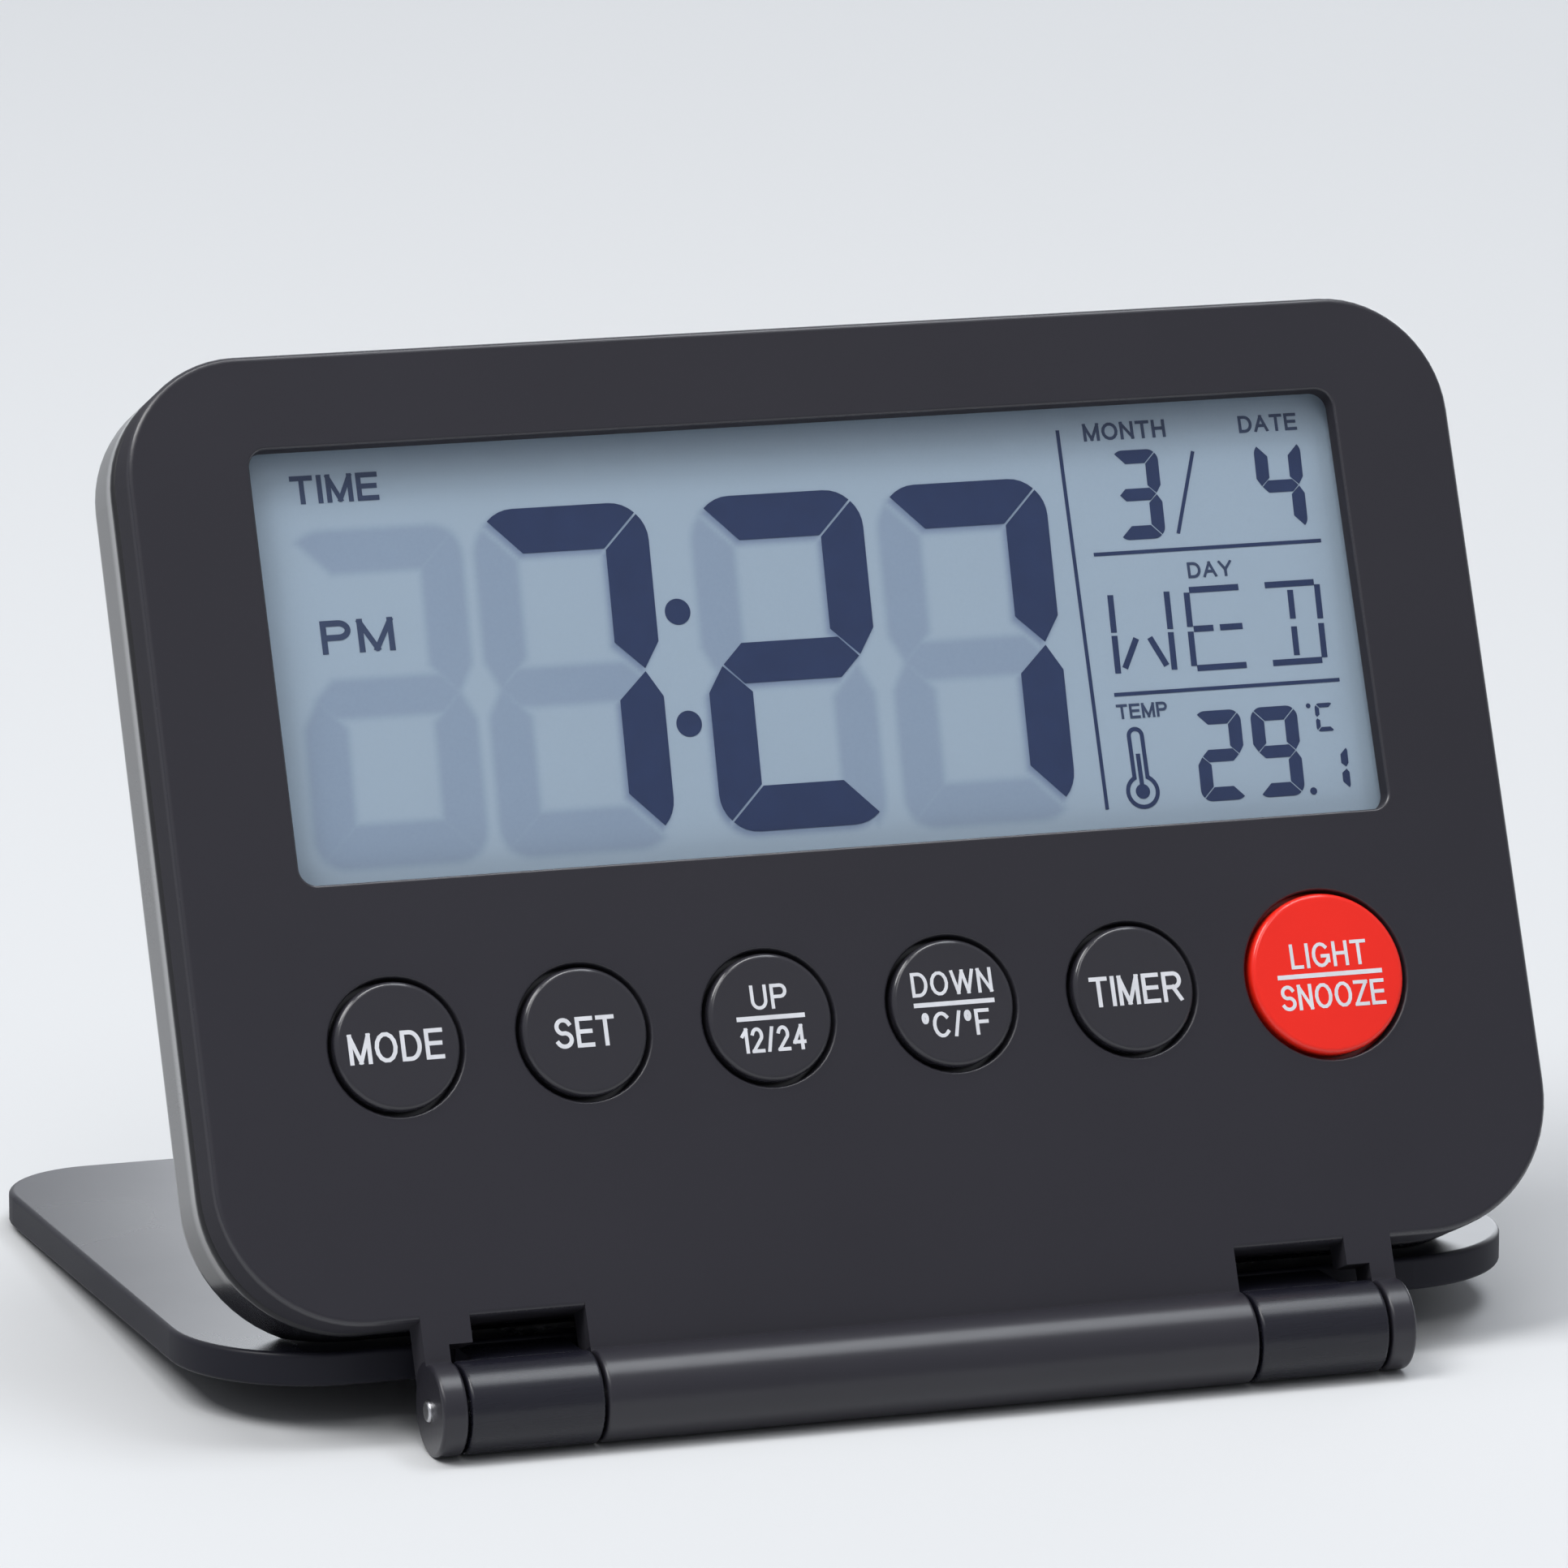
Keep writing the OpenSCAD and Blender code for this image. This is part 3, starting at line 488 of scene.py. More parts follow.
# %% Give the shells, the cover and the keys their plastic
def put(material, *nodes):
    """Gives CAD nodes their finish."""
    for node in nodes:
        slots = frame["nodes"][node].data.materials
        slots.clear()
        slots.append(material)


KEYS = ("mode", "set", "up", "down", "timer", "light")
put(moulded_plastic("shell_plastic", SHELL_COLOUR, 0.58, grain=0.7, specular=0.28, barrel_rough=0.33,
                    broad=inward, dull_walls=0.3, glossy_edges=0.9, coat_rough=0.25),
    "front_shell")
put(moulded_plastic("rear_plastic", REAR_COLOUR, 0.46, grain=0.7, polished_rim=True),
    "rear_shell", "battery_door")
put(moulded_plastic("cover_plastic", COVER_COLOUR, 0.28, grain=0.05, specular=0.22, barrel_rough=0.28,
                    broad=(0.0, 0.0, 1.0), dull_walls=0.3, glossy_face=0.18, coat_rough=0.25),
    "cover")
put(moulded_plastic("key_plastic", KEY_COLOUR, 0.17, grain=0.3, specular=0.6),
    *[f"{key}_button" for key in KEYS[:-1]])
put(moulded_plastic("red_plastic", RED_COLOUR, 0.17, grain=0.3, specular=0.5), "light_button")
print("moulded:", [name for name in bpy.data.materials.keys() if name.endswith("plastic")])

# %% [markdown]
# ## Metal
# The hinge pins are steel, the screws have a coat of zinc, the coin cell and the crystal's can one of nickel,
# and the battery contacts and the buzzer are brass. Turned and stamped metal shows fine lines, so stretched
# noise lifts and dulls it in streaks. Anisotropy would do the same to a highlight, but streaks in the
# roughness also reach an exported model.

# %% Turn and stamp the metals
STEEL = (0.56, 0.56, 0.58)
ZINC = (0.46, 0.47, 0.49)
NICKEL = (0.60, 0.59, 0.56)
BRASS = (0.62, 0.44, 0.16)
STREAK_DETAIL = 4.0
STREAK_ROUGH = 0.2
STREAK_DEPTH = 0.004 * MM
STREAK_LIFT = 0.3
SPOTS_PER_MM = 0.8
SPOT_DARK, SPOT_LIGHT = 0.85, 1.1
# Each metal's colour, its roughness, its streaks to a millimetre along each axis, and its nodes
METALS = {
    "pin_steel": (STEEL, 0.3, (0.3, 6.0, 6.0), ("hinge_pin_left", "hinge_pin_right")),
    "screw_zinc": (ZINC, 0.38, (5.0, 5.0, 0.8), ("case_screws", "board_screws")),
    "cell_nickel": (NICKEL, 0.28, (0.4, 8.0, 8.0), ("coin_cell", "quartz_crystal")),
    "contact_brass": (BRASS, 0.3, (0.5, 6.0, 6.0), ("contact_plus", "contact_minus", "piezo_buzzer")),
}


def metal(name, colour, rough, stretch):
    """Drawn or stamped metal: noise stretched along the tool's way sets roughness and scratches, and plain
    noise the tone."""
    material, shader, start = new_finish(name)
    streaks = noise(start, in_mm(start, stretch), 1.0, STREAK_DETAIL)
    spots = noise(start, in_mm(start), SPOTS_PER_MM)
    dress(
        shader,
        {
            "Base Color": spots.between(tint(colour, SPOT_DARK), tint(colour, SPOT_LIGHT)),
            "Roughness": rough + drift(streaks, STREAK_ROUGH),
            "Metallic": 1.0,
            "Normal": raised(start, streaks, STREAK_DEPTH, STREAK_LIFT),
        },
    )
    return material


for name, (colour, rough, stretch, nodes) in METALS.items():
    put(metal(name, colour, rough, stretch), *nodes)
print("metals:", ", ".join(METALS))

# %% [markdown]
# ## Inside the case
# Nobody sees the board, the display's frame or the switches until the case is opened, but a part that is
# reused may be opened. Each gets the finish of its real material: uneven green lacquer on the board, a
# drop of dull resin, white moulded plastic, pink contact rubber and red insulation. Each could have a
# network of its own, but they differ only in colour, roughness and scale, so one function makes them all.

# %% Finish the inner pieces
INNER_DETAIL = 3.0
INNER_ROUGH = 0.15
INNER_DEPTH = 0.01 * MM
INNER_LIFT = 0.3
# Each finish's dark and light tone, its roughness, its lumps to a millimetre, and its nodes
INNER = {
    "board_lacquer": ((0.012, 0.11, 0.045), (0.02, 0.17, 0.07), 0.35, 1.2, ("main_board",)),
    "chip_resin": ((0.008, 0.008, 0.009), (0.02, 0.02, 0.022), 0.42, 0.9, ("clock_chip",)),
    "sensor_lacquer": ((0.02, 0.07, 0.05), (0.04, 0.11, 0.08), 0.3, 1.5, ("temperature_sensor",)),
    "component_ceramic": ((0.25, 0.16, 0.08), (0.36, 0.24, 0.13), 0.55, 2.5, ("board_components",)),
    "switch_plastic": ((0.03, 0.03, 0.03), (0.06, 0.06, 0.06), 0.5, 1.5, ("switch_bodies",)),
    "plunger_plastic": ((0.66, 0.66, 0.64), (0.78, 0.78, 0.76), 0.45, 1.0,
                        tuple(f"{key}_plunger" for key in KEYS)),
    "frame_plastic": ((0.72, 0.72, 0.69), (0.82, 0.82, 0.79), 0.5, 0.4, ("display_frame",)),
    "guide_acrylic": ((0.70, 0.74, 0.73), (0.80, 0.83, 0.81), 0.2, 0.3, ("light_guide",)),
    "lamp_resin": ((0.80, 0.72, 0.35), (0.90, 0.84, 0.5), 0.3, 1.0, ("side_lights",)),
    "contact_rubber": ((0.38, 0.12, 0.2), (0.5, 0.18, 0.27), 0.7, 2.0, ("contact_strip",)),
    "lead_insulation": ((0.36, 0.02, 0.015), (0.5, 0.035, 0.025), 0.4, 1.0, ("buzzer_leads",)),
    "pane_glass": ((0.34, 0.41, 0.44), (0.38, 0.45, 0.48), 0.12, 0.2, ("display_glass",)),
    "film_plastic": ((0.24, 0.30, 0.33), (0.28, 0.34, 0.37), 0.4, 0.3, ("display_films",)),
}


def inner_finish(name, dark, light, rough, per_mm):
    """A two-tone finish: noise mixes the tones, drifts the roughness and lifts a slight texture."""
    material, shader, start = new_finish(name)
    cloud = noise(start, in_mm(start), per_mm, INNER_DETAIL)
    dress(
        shader,
        {
            "Base Color": cloud.between(tint(dark), tint(light)),
            "Roughness": rough + drift(cloud, INNER_ROUGH),
            "Normal": raised(start, cloud, INNER_DEPTH, INNER_LIFT),
        },
    )
    return material


for name, (dark, light, rough, per_mm, nodes) in INNER.items():
    put(inner_finish(name, dark, light, rough, per_mm), *nodes)
print("inner finishes:", ", ".join(INNER))

# %% [markdown]
# ## The window
# A clear plastic pane covers the display. Real glass bends and mirrors, but a lamp's light reaches what is
# behind it only by chance in a path tracer. The pane is thin, so it is made of two shaders instead: one
# lets all light through, and the other is a mirror whose share grows towards a glancing view, as glass does.

# %% Glaze the window
HEAD_ON = 0.014
SMUDGE = 0.006
SMUDGE_PER_MM = 0.12
SMUDGE_DETAIL = 4.0
MIRROR_COLOUR = (0.93, 0.95, 0.97)
MIRROR_ROUGH = 0.06


def window_finish():
    """Mirror share = h + (1 - h) f^5 + faint smudges, where h is the share head on and f is 0 head on and 1
    at a glancing view. It is the same from both sides, because nothing bends here. The rest goes straight
    through."""
    material, shader, start = new_finish("window_clear")
    tree = material.node_tree
    smudges = noise(start, in_mm(start), SMUDGE_PER_MM, SMUDGE_DETAIL)
    facing = start.node("ShaderNodeLayerWeight", inputs={"Blend": 0.5}, output="Facing")
    share = HEAD_ON + (1 - HEAD_ON) * facing**5 + SMUDGE * smudges
    dress(shader, {"Base Color": tint(MIRROR_COLOUR), "Metallic": 1.0, "Roughness": MIRROR_ROUGH})
    through = start.node("ShaderNodeBsdfTransparent")
    mirror = Signal(tree, shader.outputs[0])
    both = start.node("ShaderNodeMixShader", inputs={0: share, 1: through, 2: mirror})
    tree.links.new(both.socket, tree.nodes["Material Output"].inputs["Surface"])
    return material


put(window_finish(), "display_window")
print("window mirrors", HEAD_ON, "head on")

# %% [markdown]
# ## Flat pieces from outlines
# The dark marks of the display and the printed marks on the keys are thin flat pieces. Each could be a
# curve that Blender fills, but most are a few straight edges, so the lesson builds them as arrays: an
# outline is repeated at two depths, and a wall joins the two. Several marks are joined in one mesh by adding
# the number of points before them to their faces.


# %% Make flat pieces
def prism(outline, near, far):
    """A closed flat piece: point k of ring j is (outline[k], depth[j]), with the ring at near facing out.
    The outline runs anticlockwise as it is seen from the front."""
    outline = np.asarray(outline)
    count = len(outline)
    rings = [np.column_stack([outline, np.full(count, depth)]) for depth in (near, far)]
    index = np.arange(count)
    after = np.roll(index, -1)
    walls = np.column_stack([index, index + count, after + count, after])
    caps = [index.tolist(), (index[::-1] + count).tolist()]
    return np.concatenate(rings), caps + walls.tolist()


def joined(parts):
    """Several (points, faces) as one, each part's faces counted on from the points before it."""
    counts = np.cumsum([0] + [len(points) for points, faces in parts])
    faces = [[k + first for k in face] for (points, part), first in zip(parts, counts) for face in part]
    return np.concatenate([points for points, faces in parts]), faces


def face_piece(name, parts, material, body):
    """Makes a new piece on the clock's face, from parts in the face frame, and lets it ride on a body."""
    points, faces = joined(parts)
    mesh = bpy.data.meshes.new(name)
    mesh.from_pydata(on_face(points).tolist(), [], faces)
    mesh.materials.append(material)
    piece = link(name, mesh)
    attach(piece, body)


def arc(centre, radius, start, stop, steps=8):
    """Points centre + radius (cos t, sin t), with t in degrees from start to stop."""
    turn = np.radians(np.linspace(start, stop, steps + 1))
    return np.asarray(centre) + radius * np.column_stack([np.cos(turn), np.sin(turn)])


def disc(centre, radius, steps):
    """The outline of a full circle."""
    return arc(centre, radius, 0, 360, steps)[:-1]


def stroke(start, stop, width):
    """A straight bar: the four corners of a line of some width, square at its ends."""
    start, stop = np.asarray(start, float), np.asarray(stop, float)
    along = (stop - start) / np.linalg.norm(stop - start)
    side = width / 2 * np.array([-along[1], along[0]])
    return np.stack([start - side, stop - side, stop + side, start + side])


print("a bar has", len(prism(stroke((0, 0), (1, 0), 0.1), 0.0, 0.1)[0]), "points")

# %% [markdown]
# ## Seven segments
# Liquid crystal digits are made of seven bars with mitred ends and a hair of a gap between them. One font
# could draw them, but the mitres, the round outer corners and the slight slant are easy to state: each bar
# is worked out once for the top right of the figure, and mirrors give the rest.

# %% Draw the segments
TIP_SHARE = 0.36
TIP_RISE = 1.7
LEVEL_SHARE = 0.45
GHOST_GAP = -0.3
FIGURES = {"1": "bc", "2": "abged", "3": "abgcd", "4": "fgbc", "7": "abc", "9": "abcdfg", "C": "afed"}


def segments(width, height, bar, corner, gap):
    """The outlines of bars a to g in a box whose lower left is (0, 0). The top bar's ends and the upper right
    bar's top meet on a mitre at 45 degrees, the outer corners are arcs, and the bars' inner ends come to a
    point, which lies a share of the bar's width from the side."""
    middle = height / 2
    tip = TIP_SHARE * bar
    round_right = arc((width - corner, height - corner), corner, 0, 90)
    half = len(round_right) // 2
    top_right = np.concatenate([[[width - bar, height - bar]], round_right[half:]]) - [gap, 0]
    mirror_x = np.array([-1, 1])
    top_left = (top_right * mirror_x + [width, 0])[::-1]
    top = np.concatenate([top_left[-1:], top_right, top_left[:-1]])
    upper = np.concatenate([
        [[width - bar, middle + bar - tip], [width - tip, middle + gap], [width, middle + TIP_RISE * tip]],
        round_right[: half + 1] - [0, gap],
        [[width - bar, height - bar - gap]],
    ])
    thick = LEVEL_SHARE * bar
    left = tip + gap
    right = width - left
    level = np.array([
        [left, middle], [left + thick, middle - thick], [right - thick, middle - thick],
        [right, middle], [right - thick, middle + thick], [left + thick, middle + thick],
    ])

    def flip(outline, over_x, over_y):
        """The outline mirrored in the box, kept anticlockwise."""
        moved = outline * [-1 if over_x else 1, -1 if over_y else 1] + [width * over_x, height * over_y]
        return moved[::-1] if over_x != over_y else moved

    return {
        "a": top, "b": upper, "c": flip(upper, 0, 1), "d": flip(top, 0, 1),
        "e": flip(upper, 1, 1), "f": flip(upper, 1, 0), "g": level,
    }


def figure(bars, names, right, low, slant, height):
    """The named bars set with the box's right side at right, its foot at low, and leant over by slant:
    x + slant * (y - height / 2)."""
    width = max(outline[:, 0].max() for outline in bars.values())
    lean_over = np.array([[1.0, 0.0], [slant, 1.0]])
    move = [right - width - slant * height / 2, low]
    return [bars[name] @ lean_over + move for name in names]


BIG_SIZE = {"width": 14.1, "height": 26.85, "bar": 3.6, "corner": 3.0, "gap": 0.12}
BIG_LOW = 43.15
BIG_RIGHTS = {"tens": -28.15, "hour": -13.2, "ten": 4.65, "minute": 20.2}
BIG_SHOWN = {"tens": "", "hour": "7", "ten": "2", "minute": "7"}
SLANT = 0.034
big_bars = segments(**BIG_SIZE)
ghost_bars = segments(**{**BIG_SIZE, "gap": GHOST_GAP})
lit, unlit = [], []
for place, right in BIG_RIGHTS.items():
    on = FIGURES.get(BIG_SHOWN[place], "")
    off = [bar for bar in big_bars if bar not in on and not (place == "tens" and bar == "f")]
    lit += figure(big_bars, on, right, BIG_LOW, SLANT, BIG_SIZE["height"])
    unlit += figure(ghost_bars, off, right, BIG_LOW, SLANT, BIG_SIZE["height"])
print("big figures:", len(lit), "bars lit and", len(unlit), "unlit")

# %% [markdown]
# ## The display's ground
# Behind the marks lies a grey-blue reflector. The bars that are off still tint it a little, and that
# faint tint is drawn a touch lower than the bars, where their shadow would fall with light from above, so
# it is partly painted shade. The soft shadow of the bars that are on is painted shade too, a touch lower
# than the bars. A picture could hold both, but they follow from the bars: each point of a fine grid asks
# how far it is inside the nearest shifted bar, and a smooth step turns that distance into painted shade.
# The shade is stored on the points and darkens the reflector's colour.

# %% Shade the ground
GROUND_STEP = 0.22
# Offsets in mm and softness of the off bars' tint and of the lit bars' painted shadow on the reflector
GHOST_SHADOW_SHIFT = np.array([-0.35, -0.8])
PAINTED_SHADOW_SHIFT = np.array([-0.3, -0.35])
GHOST_SOFT = 0.45
PAINTED_SHADOW_SOFT = 0.5
GHOST_SHARE = 0.5
PEARL_PER_MM = 4.0
PEARL_TONE = 0.12
PEARL_ROUGH = 0.2
PATCHES_PER_MM = 0.04
PATCH_TONE = 0.1
GROUND_ROUGH = 0.5
GROUND_SPECULAR = 0.2
SAME_PLACE = 1e-6
GROUND_COLOUR = (0.34, 0.43, 0.525)
# The darker colour under the off bars' tint and under the painted shadow of the lit bars
GHOST_AND_SHADOW_COLOUR = (0.17, 0.232, 0.355)
window_low, window_high = face_extent("display_window")
film_low, film_high = face_extent("display_films")
picture_gap = film_low[2] - window_high[2]
# The ink's two faces and the ground, as shares of the gap between the window and the film
INK_NEAR = window_high[2] + 0.2 * picture_gap
INK_FAR = window_high[2] + 0.5 * picture_gap
GROUND_IN = window_high[2] + 0.8 * picture_gap


def inside_depth(points, outline):
    """How far each point is inside a convex outline: the least of n . (v - p) over its edges, where n is the
    edge's outward normal and v its start. Negative outside."""
    edge = np.roll(outline, -1, axis=0) - outline
    length = np.linalg.norm(edge, axis=1)
    keep = length > SAME_PLACE
    normal = np.column_stack([edge[keep, 1], -edge[keep, 0]]) / length[keep, None]
    return (np.sum(normal * outline[keep], axis=1) - points @ normal.T).min(axis=1)


def soft_cover(points, outlines, shift, soft):
    """1 well inside any shifted outline and 0 well outside: s = clip(d / 2 soft + 1/2), and then
    s^2 (3 - 2 s)."""
    depth = np.max([inside_depth(points, outline + shift) for outline in outlines], axis=0)
    share = np.clip(depth / (2 * soft) + 0.5, 0, 1)
    return share * share * (3 - 2 * share)


def ground_piece():
    """A flat grid over the film: point (i, k) lies i steps across and k steps up. Its shade attribute is
    ghost share * unlit cover, or the painted shadow of the lit bars where that is darker."""
    spans = [np.linspace(film_low[axis], film_high[axis],
                         int((film_high[axis] - film_low[axis]) / GROUND_STEP) + 1) for axis in (0, 1)]
    x, y = np.meshgrid(*spans, indexing="ij")
    flat = np.column_stack([x.ravel(), y.ravel()])
    points = np.column_stack([flat, np.full(len(flat), GROUND_IN)])
    index = np.arange(x.size).reshape(x.shape)
    quads = np.stack([index[:-1, :-1], index[1:, :-1], index[1:, 1:], index[:-1, 1:]], axis=-1)
    ghost = GHOST_SHARE * soft_cover(flat, unlit, GHOST_SHADOW_SHIFT, GHOST_SOFT)
    # painted shadow of the lit bars, shifted lower and to the left of them
    shadow = soft_cover(flat, lit, PAINTED_SHADOW_SHIFT, PAINTED_SHADOW_SOFT)
    mesh = bpy.data.meshes.new("display_ground")
    mesh.from_pydata(on_face(points).tolist(), [], quads.reshape(-1, 4).tolist())
    shade = mesh.attributes.new("shade", "FLOAT", "POINT")
    shade.data.foreach_set("value", np.maximum(ghost, shadow).astype(np.float32))
    return link("display_ground", mesh)


def ground_finish():
    """Grey-blue reflector: the shade attribute tints it with the off bars' faint tint and the lit bars'
    painted shadow, and fine noise gives its pearly grain.
    """
    material, shader, start = new_finish("display_reflector")
    shade = start.node("ShaderNodeAttribute", {"attribute_name": "shade"}, output="Fac")
    pearl = noise(start, in_mm(start), PEARL_PER_MM)
    patches = noise(start, in_mm(start), PATCHES_PER_MM)
    share = (shade + drift(pearl, PEARL_TONE) + drift(patches, PATCH_TONE)).clip()
    dress(
        shader,
        {
            "Base Color": share.between(tint(GROUND_COLOUR), tint(GHOST_AND_SHADOW_COLOUR)),
            "Roughness": GROUND_ROUGH + drift(pearl, PEARL_ROUGH),
            "Specular IOR Level": GROUND_SPECULAR,
        },
    )
    return material


ground = ground_piece()
ground.data.materials.append(ground_finish())
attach(ground, "case")
print("ground:", len(ground.data.vertices), "points")

# %% [markdown]
# ## The time
# The lit bars are dark navy, not black, because the crystal only turns the light. They could be painted on
# the ground, but real ones lie above it, so they are thin pieces between the window and the ground. Two
# round dots part the hours from the minutes.

# %% Show the time
INK_COLOUR = (0.018, 0.034, 0.098)
INK_PER_MM = 0.6
INK_DETAIL = 3.0
INK_TONE = 0.15
INK_ROUGH = 0.5
INK_DRIFT = 0.1
INK_SPECULAR = 0.2
DOT_R = 1.05
DOTS = [(-11.25, 61.0), (-11.5, 52.05)]


def ink_finish(name, colour):
    """Ink or crystal with a faintly uneven tone."""
    material, shader, start = new_finish(name)
    cloud = noise(start, in_mm(start), INK_PER_MM, INK_DETAIL)
    dress(
        shader,
        {
            "Base Color": toned(cloud, colour, INK_TONE),
            "Roughness": INK_ROUGH + drift(cloud, INK_DRIFT),
            "Specular IOR Level": INK_SPECULAR,
        },
    )
    return material


def shown(outlines):
    """Outlines as flat pieces in the display."""
    return [prism(outline, INK_NEAR, INK_FAR) for outline in outlines]


crystal_ink = ink_finish("display_crystal", INK_COLOUR)
dots = [disc(centre, DOT_R, steps=32) for centre in DOTS]
face_piece("time_figures", shown(lit + dots), crystal_ink, "case")
print("time:", len(lit), "bars and", len(dots), "dots")

# %% [markdown]
# ## Date, day and temperature
# The column on the right repeats the same figures at a smaller size, spells the day with thin bars, and
# shows the temperature beside a small thermometer. A font could set them, but every mark is a bar, a dot or
# a figure, so the functions from before make them all. The places are in millimetres across the face and up
# it from the hinge.

# %% Show the date and the temperature
SMALL_SIZE = {"width": 4.0, "height": 7.3, "bar": 1.12, "corner": 0.9, "gap": 0.06}
DATE_LOW = 64.45
WARM_LOW = 42.95
DATE_FIGURES = [("3", 30.45), ("4", 42.7)]
WARM_FIGURES = [("2", 34.4), ("9", 39.25)]
UNIT_SIZE = {"width": 1.6, "height": 2.3, "bar": 0.36, "corner": 0.3, "gap": 0.06}
TENTH_SIZE = {"width": 1.9, "height": 3.6, "bar": 0.62, "corner": 0.4, "gap": 0.08}
SLASH = ((31.4, 64.75), (33.6, 71.35))
UNIT_AT = (42.5, 47.95)
TENTH_AT = (43.15, 43.1)
POINT, POINT_R = (39.85, 43.2), 0.3
DEGREE, DEGREE_R = (40.4, 50.1), 0.2
RULES = [
    ((22.2, 42.9), (22.35, 73.7)),
    ((24.0, 63.45), (43.5, 63.45)),
    ((24.1, 52.05), (43.4, 52.05)),
]
RULE_W = 0.3
DAY_LOW = 53.75
DAY_HIGH = 60.1
DAY_W = 0.5
# Each letter's strokes, as shares of its cell across and up
DAY_LETTERS = {
    "W": [((0, 0.52), (0, 1)), ((0, 0), (0, 0.48)), ((1, 0.52), (1, 1)), ((1, 0), (1, 0.48)),
          ((0.13, 0.06), (0.38, 0.43)), ((0.87, 0.06), (0.62, 0.43))],
    "E": [((0, 0.53), (0, 0.97)), ((0, 0.03), (0, 0.47)), ((0.05, 1), (0.95, 1)), ((0.05, 0), (0.95, 0)),
          ((0.06, 0.5), (0.42, 0.5)), ((0.54, 0.5), (0.95, 0.5))],
    "D": [((1, 0.53), (1, 0.97)), ((1, 0.03), (1, 0.47)), ((0.05, 1), (0.95, 1)), ((0.05, 0), (0.95, 0)),
          ((0.5, 0.55), (0.5, 0.92)), ((0.5, 0.08), (0.5, 0.45))],
}
DAY_SHOWN = [("W", 24.8, 29.6), ("E", 31.3, 36.0), ("D", 37.8, 42.5)]


def small_figures(size, shown_at, low):
    """Figures of one size along a line."""
    bars = segments(**size)
    return [outline for mark, right in shown_at
            for outline in figure(bars, FIGURES[mark], right, low, SLANT, size["height"])]


def day_strokes(letter, left, right):
    """A letter's strokes in its cell, leant over like the figures: x + slant * (y - middle)."""
    corner = np.array([left, DAY_LOW])
    size = np.array([right - left, DAY_HIGH - DAY_LOW])
    ends = corner + np.array(DAY_LETTERS[letter]) * size
    ends[..., 0] += SLANT * (ends[..., 1] - (DAY_LOW + DAY_HIGH) / 2)
    return [stroke(*pair, DAY_W) for pair in ends]


date_marks = small_figures(SMALL_SIZE, DATE_FIGURES, DATE_LOW) + [stroke(*SLASH, RULE_W)]
day_marks = [bar for letter in DAY_SHOWN for bar in day_strokes(*letter)]
warm_marks = (
    small_figures(SMALL_SIZE, WARM_FIGURES, WARM_LOW)
    + small_figures(UNIT_SIZE, [("C", UNIT_AT[0])], UNIT_AT[1])
    + small_figures(TENTH_SIZE, [("1", TENTH_AT[0])], TENTH_AT[1])
    + [disc(POINT, POINT_R, steps=16), disc(DEGREE, DEGREE_R, steps=16)]
)
face_piece("date_figures", shown(date_marks), crystal_ink, "case")
face_piece("day_letters", shown(day_marks), crystal_ink, "case")
face_piece("temperature_figures", shown(warm_marks), crystal_ink, "case")
face_piece("display_rules", shown([stroke(*ends, RULE_W) for ends in RULES]), crystal_ink, "case")
print("small marks:", len(date_marks) + len(day_marks) + len(warm_marks))

# %% [markdown]
# ## The thermometer
# The sign beside the temperature is an outline with a filled bulb and a thin column. One face can't have a
# hole, and a curve would have to be filled, so the ring is built as a ribbon: the outer and the inner outline
# have as many points, and each pair of neighbours makes one quad.

# %% Draw the thermometer
BULB = np.array([25.4, 44.15])
BULB_R = 1.25
STEM_R = 0.55
STEM_TOP = 48.65
SIGN_W = 0.34
COLUMN_W = 0.36
COLUMN_TOP = 47.2
COLUMN_FOOT = 0.5
FILL_R = 0.6


def glass_outline(grow):
    """The thermometer's outline: an arc round the bulb that stops where the stem leaves it, then a half
    circle round the stem's top, both grown by an amount."""
    bulb_r, stem_r = BULB_R + grow, STEM_R + grow
    leave = math.degrees(math.acos(stem_r / bulb_r))
    bulb = arc(BULB, bulb_r, 180 - leave, 360 + leave, steps=24)
    top = arc((BULB[0], STEM_TOP), stem_r, 0, 180, steps=12)
    return np.concatenate([bulb, top])


def ribbon(left, right, near, far, closed):
    """A flat band between two lines of as many points: four rings of points, left and right at two depths,
    joined by quads in turn. An open band gets a quad at each end."""
    count = len(left)
    rings = [np.column_stack([line, np.full(count, depth)])
             for line, depth in ((right, near), (right, far), (left, far), (left, near))]
    index = np.arange(4 * count).reshape(4, count)
    beside = np.roll(index, -1, axis=0)
    quads = np.stack([index, beside, np.roll(beside, -1, axis=1), np.roll(index, -1, axis=1)], axis=-1)
    walls = quads if closed else quads[:, :-1]
    ends = [] if closed else [index[::-1, 0].tolist(), index[:, -1].tolist()]
    return np.concatenate(rings), walls.reshape(-1, 4).tolist() + ends


sign_ring = ribbon(glass_outline(-SIGN_W / 2), glass_outline(SIGN_W / 2), INK_NEAR, INK_FAR, True)
column = stroke(BULB + [0, COLUMN_FOOT], (BULB[0], COLUMN_TOP), COLUMN_W)
sign_fill = shown([disc(BULB, FILL_R, steps=24), column])
face_piece("thermometer_sign", [sign_ring] + sign_fill, crystal_ink, "case")
print("thermometer:", len(sign_ring[0]), "points in its ring")

# %% [markdown]
# ## A plain alphabet
# The display names what it shows, and each key says in a plain word what it does. A text object could set
# the words, but such small marks are only pen strokes of one width, so each letter is a few lines and arcs
# in a square cell. A word is spread over its place on the face, and the pen keeps its width however far the
# letters are stretched.

# %% Draw letters with a pen
PEN_STEPS = 14


def bend(x, y, rx, ry, start, stop):
    """An arc of an ellipse in a letter's cell: (x + rx cos t, y + ry sin t), with t in degrees."""
    return arc((0, 0), 1.0, start, stop, PEN_STEPS) * [rx, ry] + [x, y]


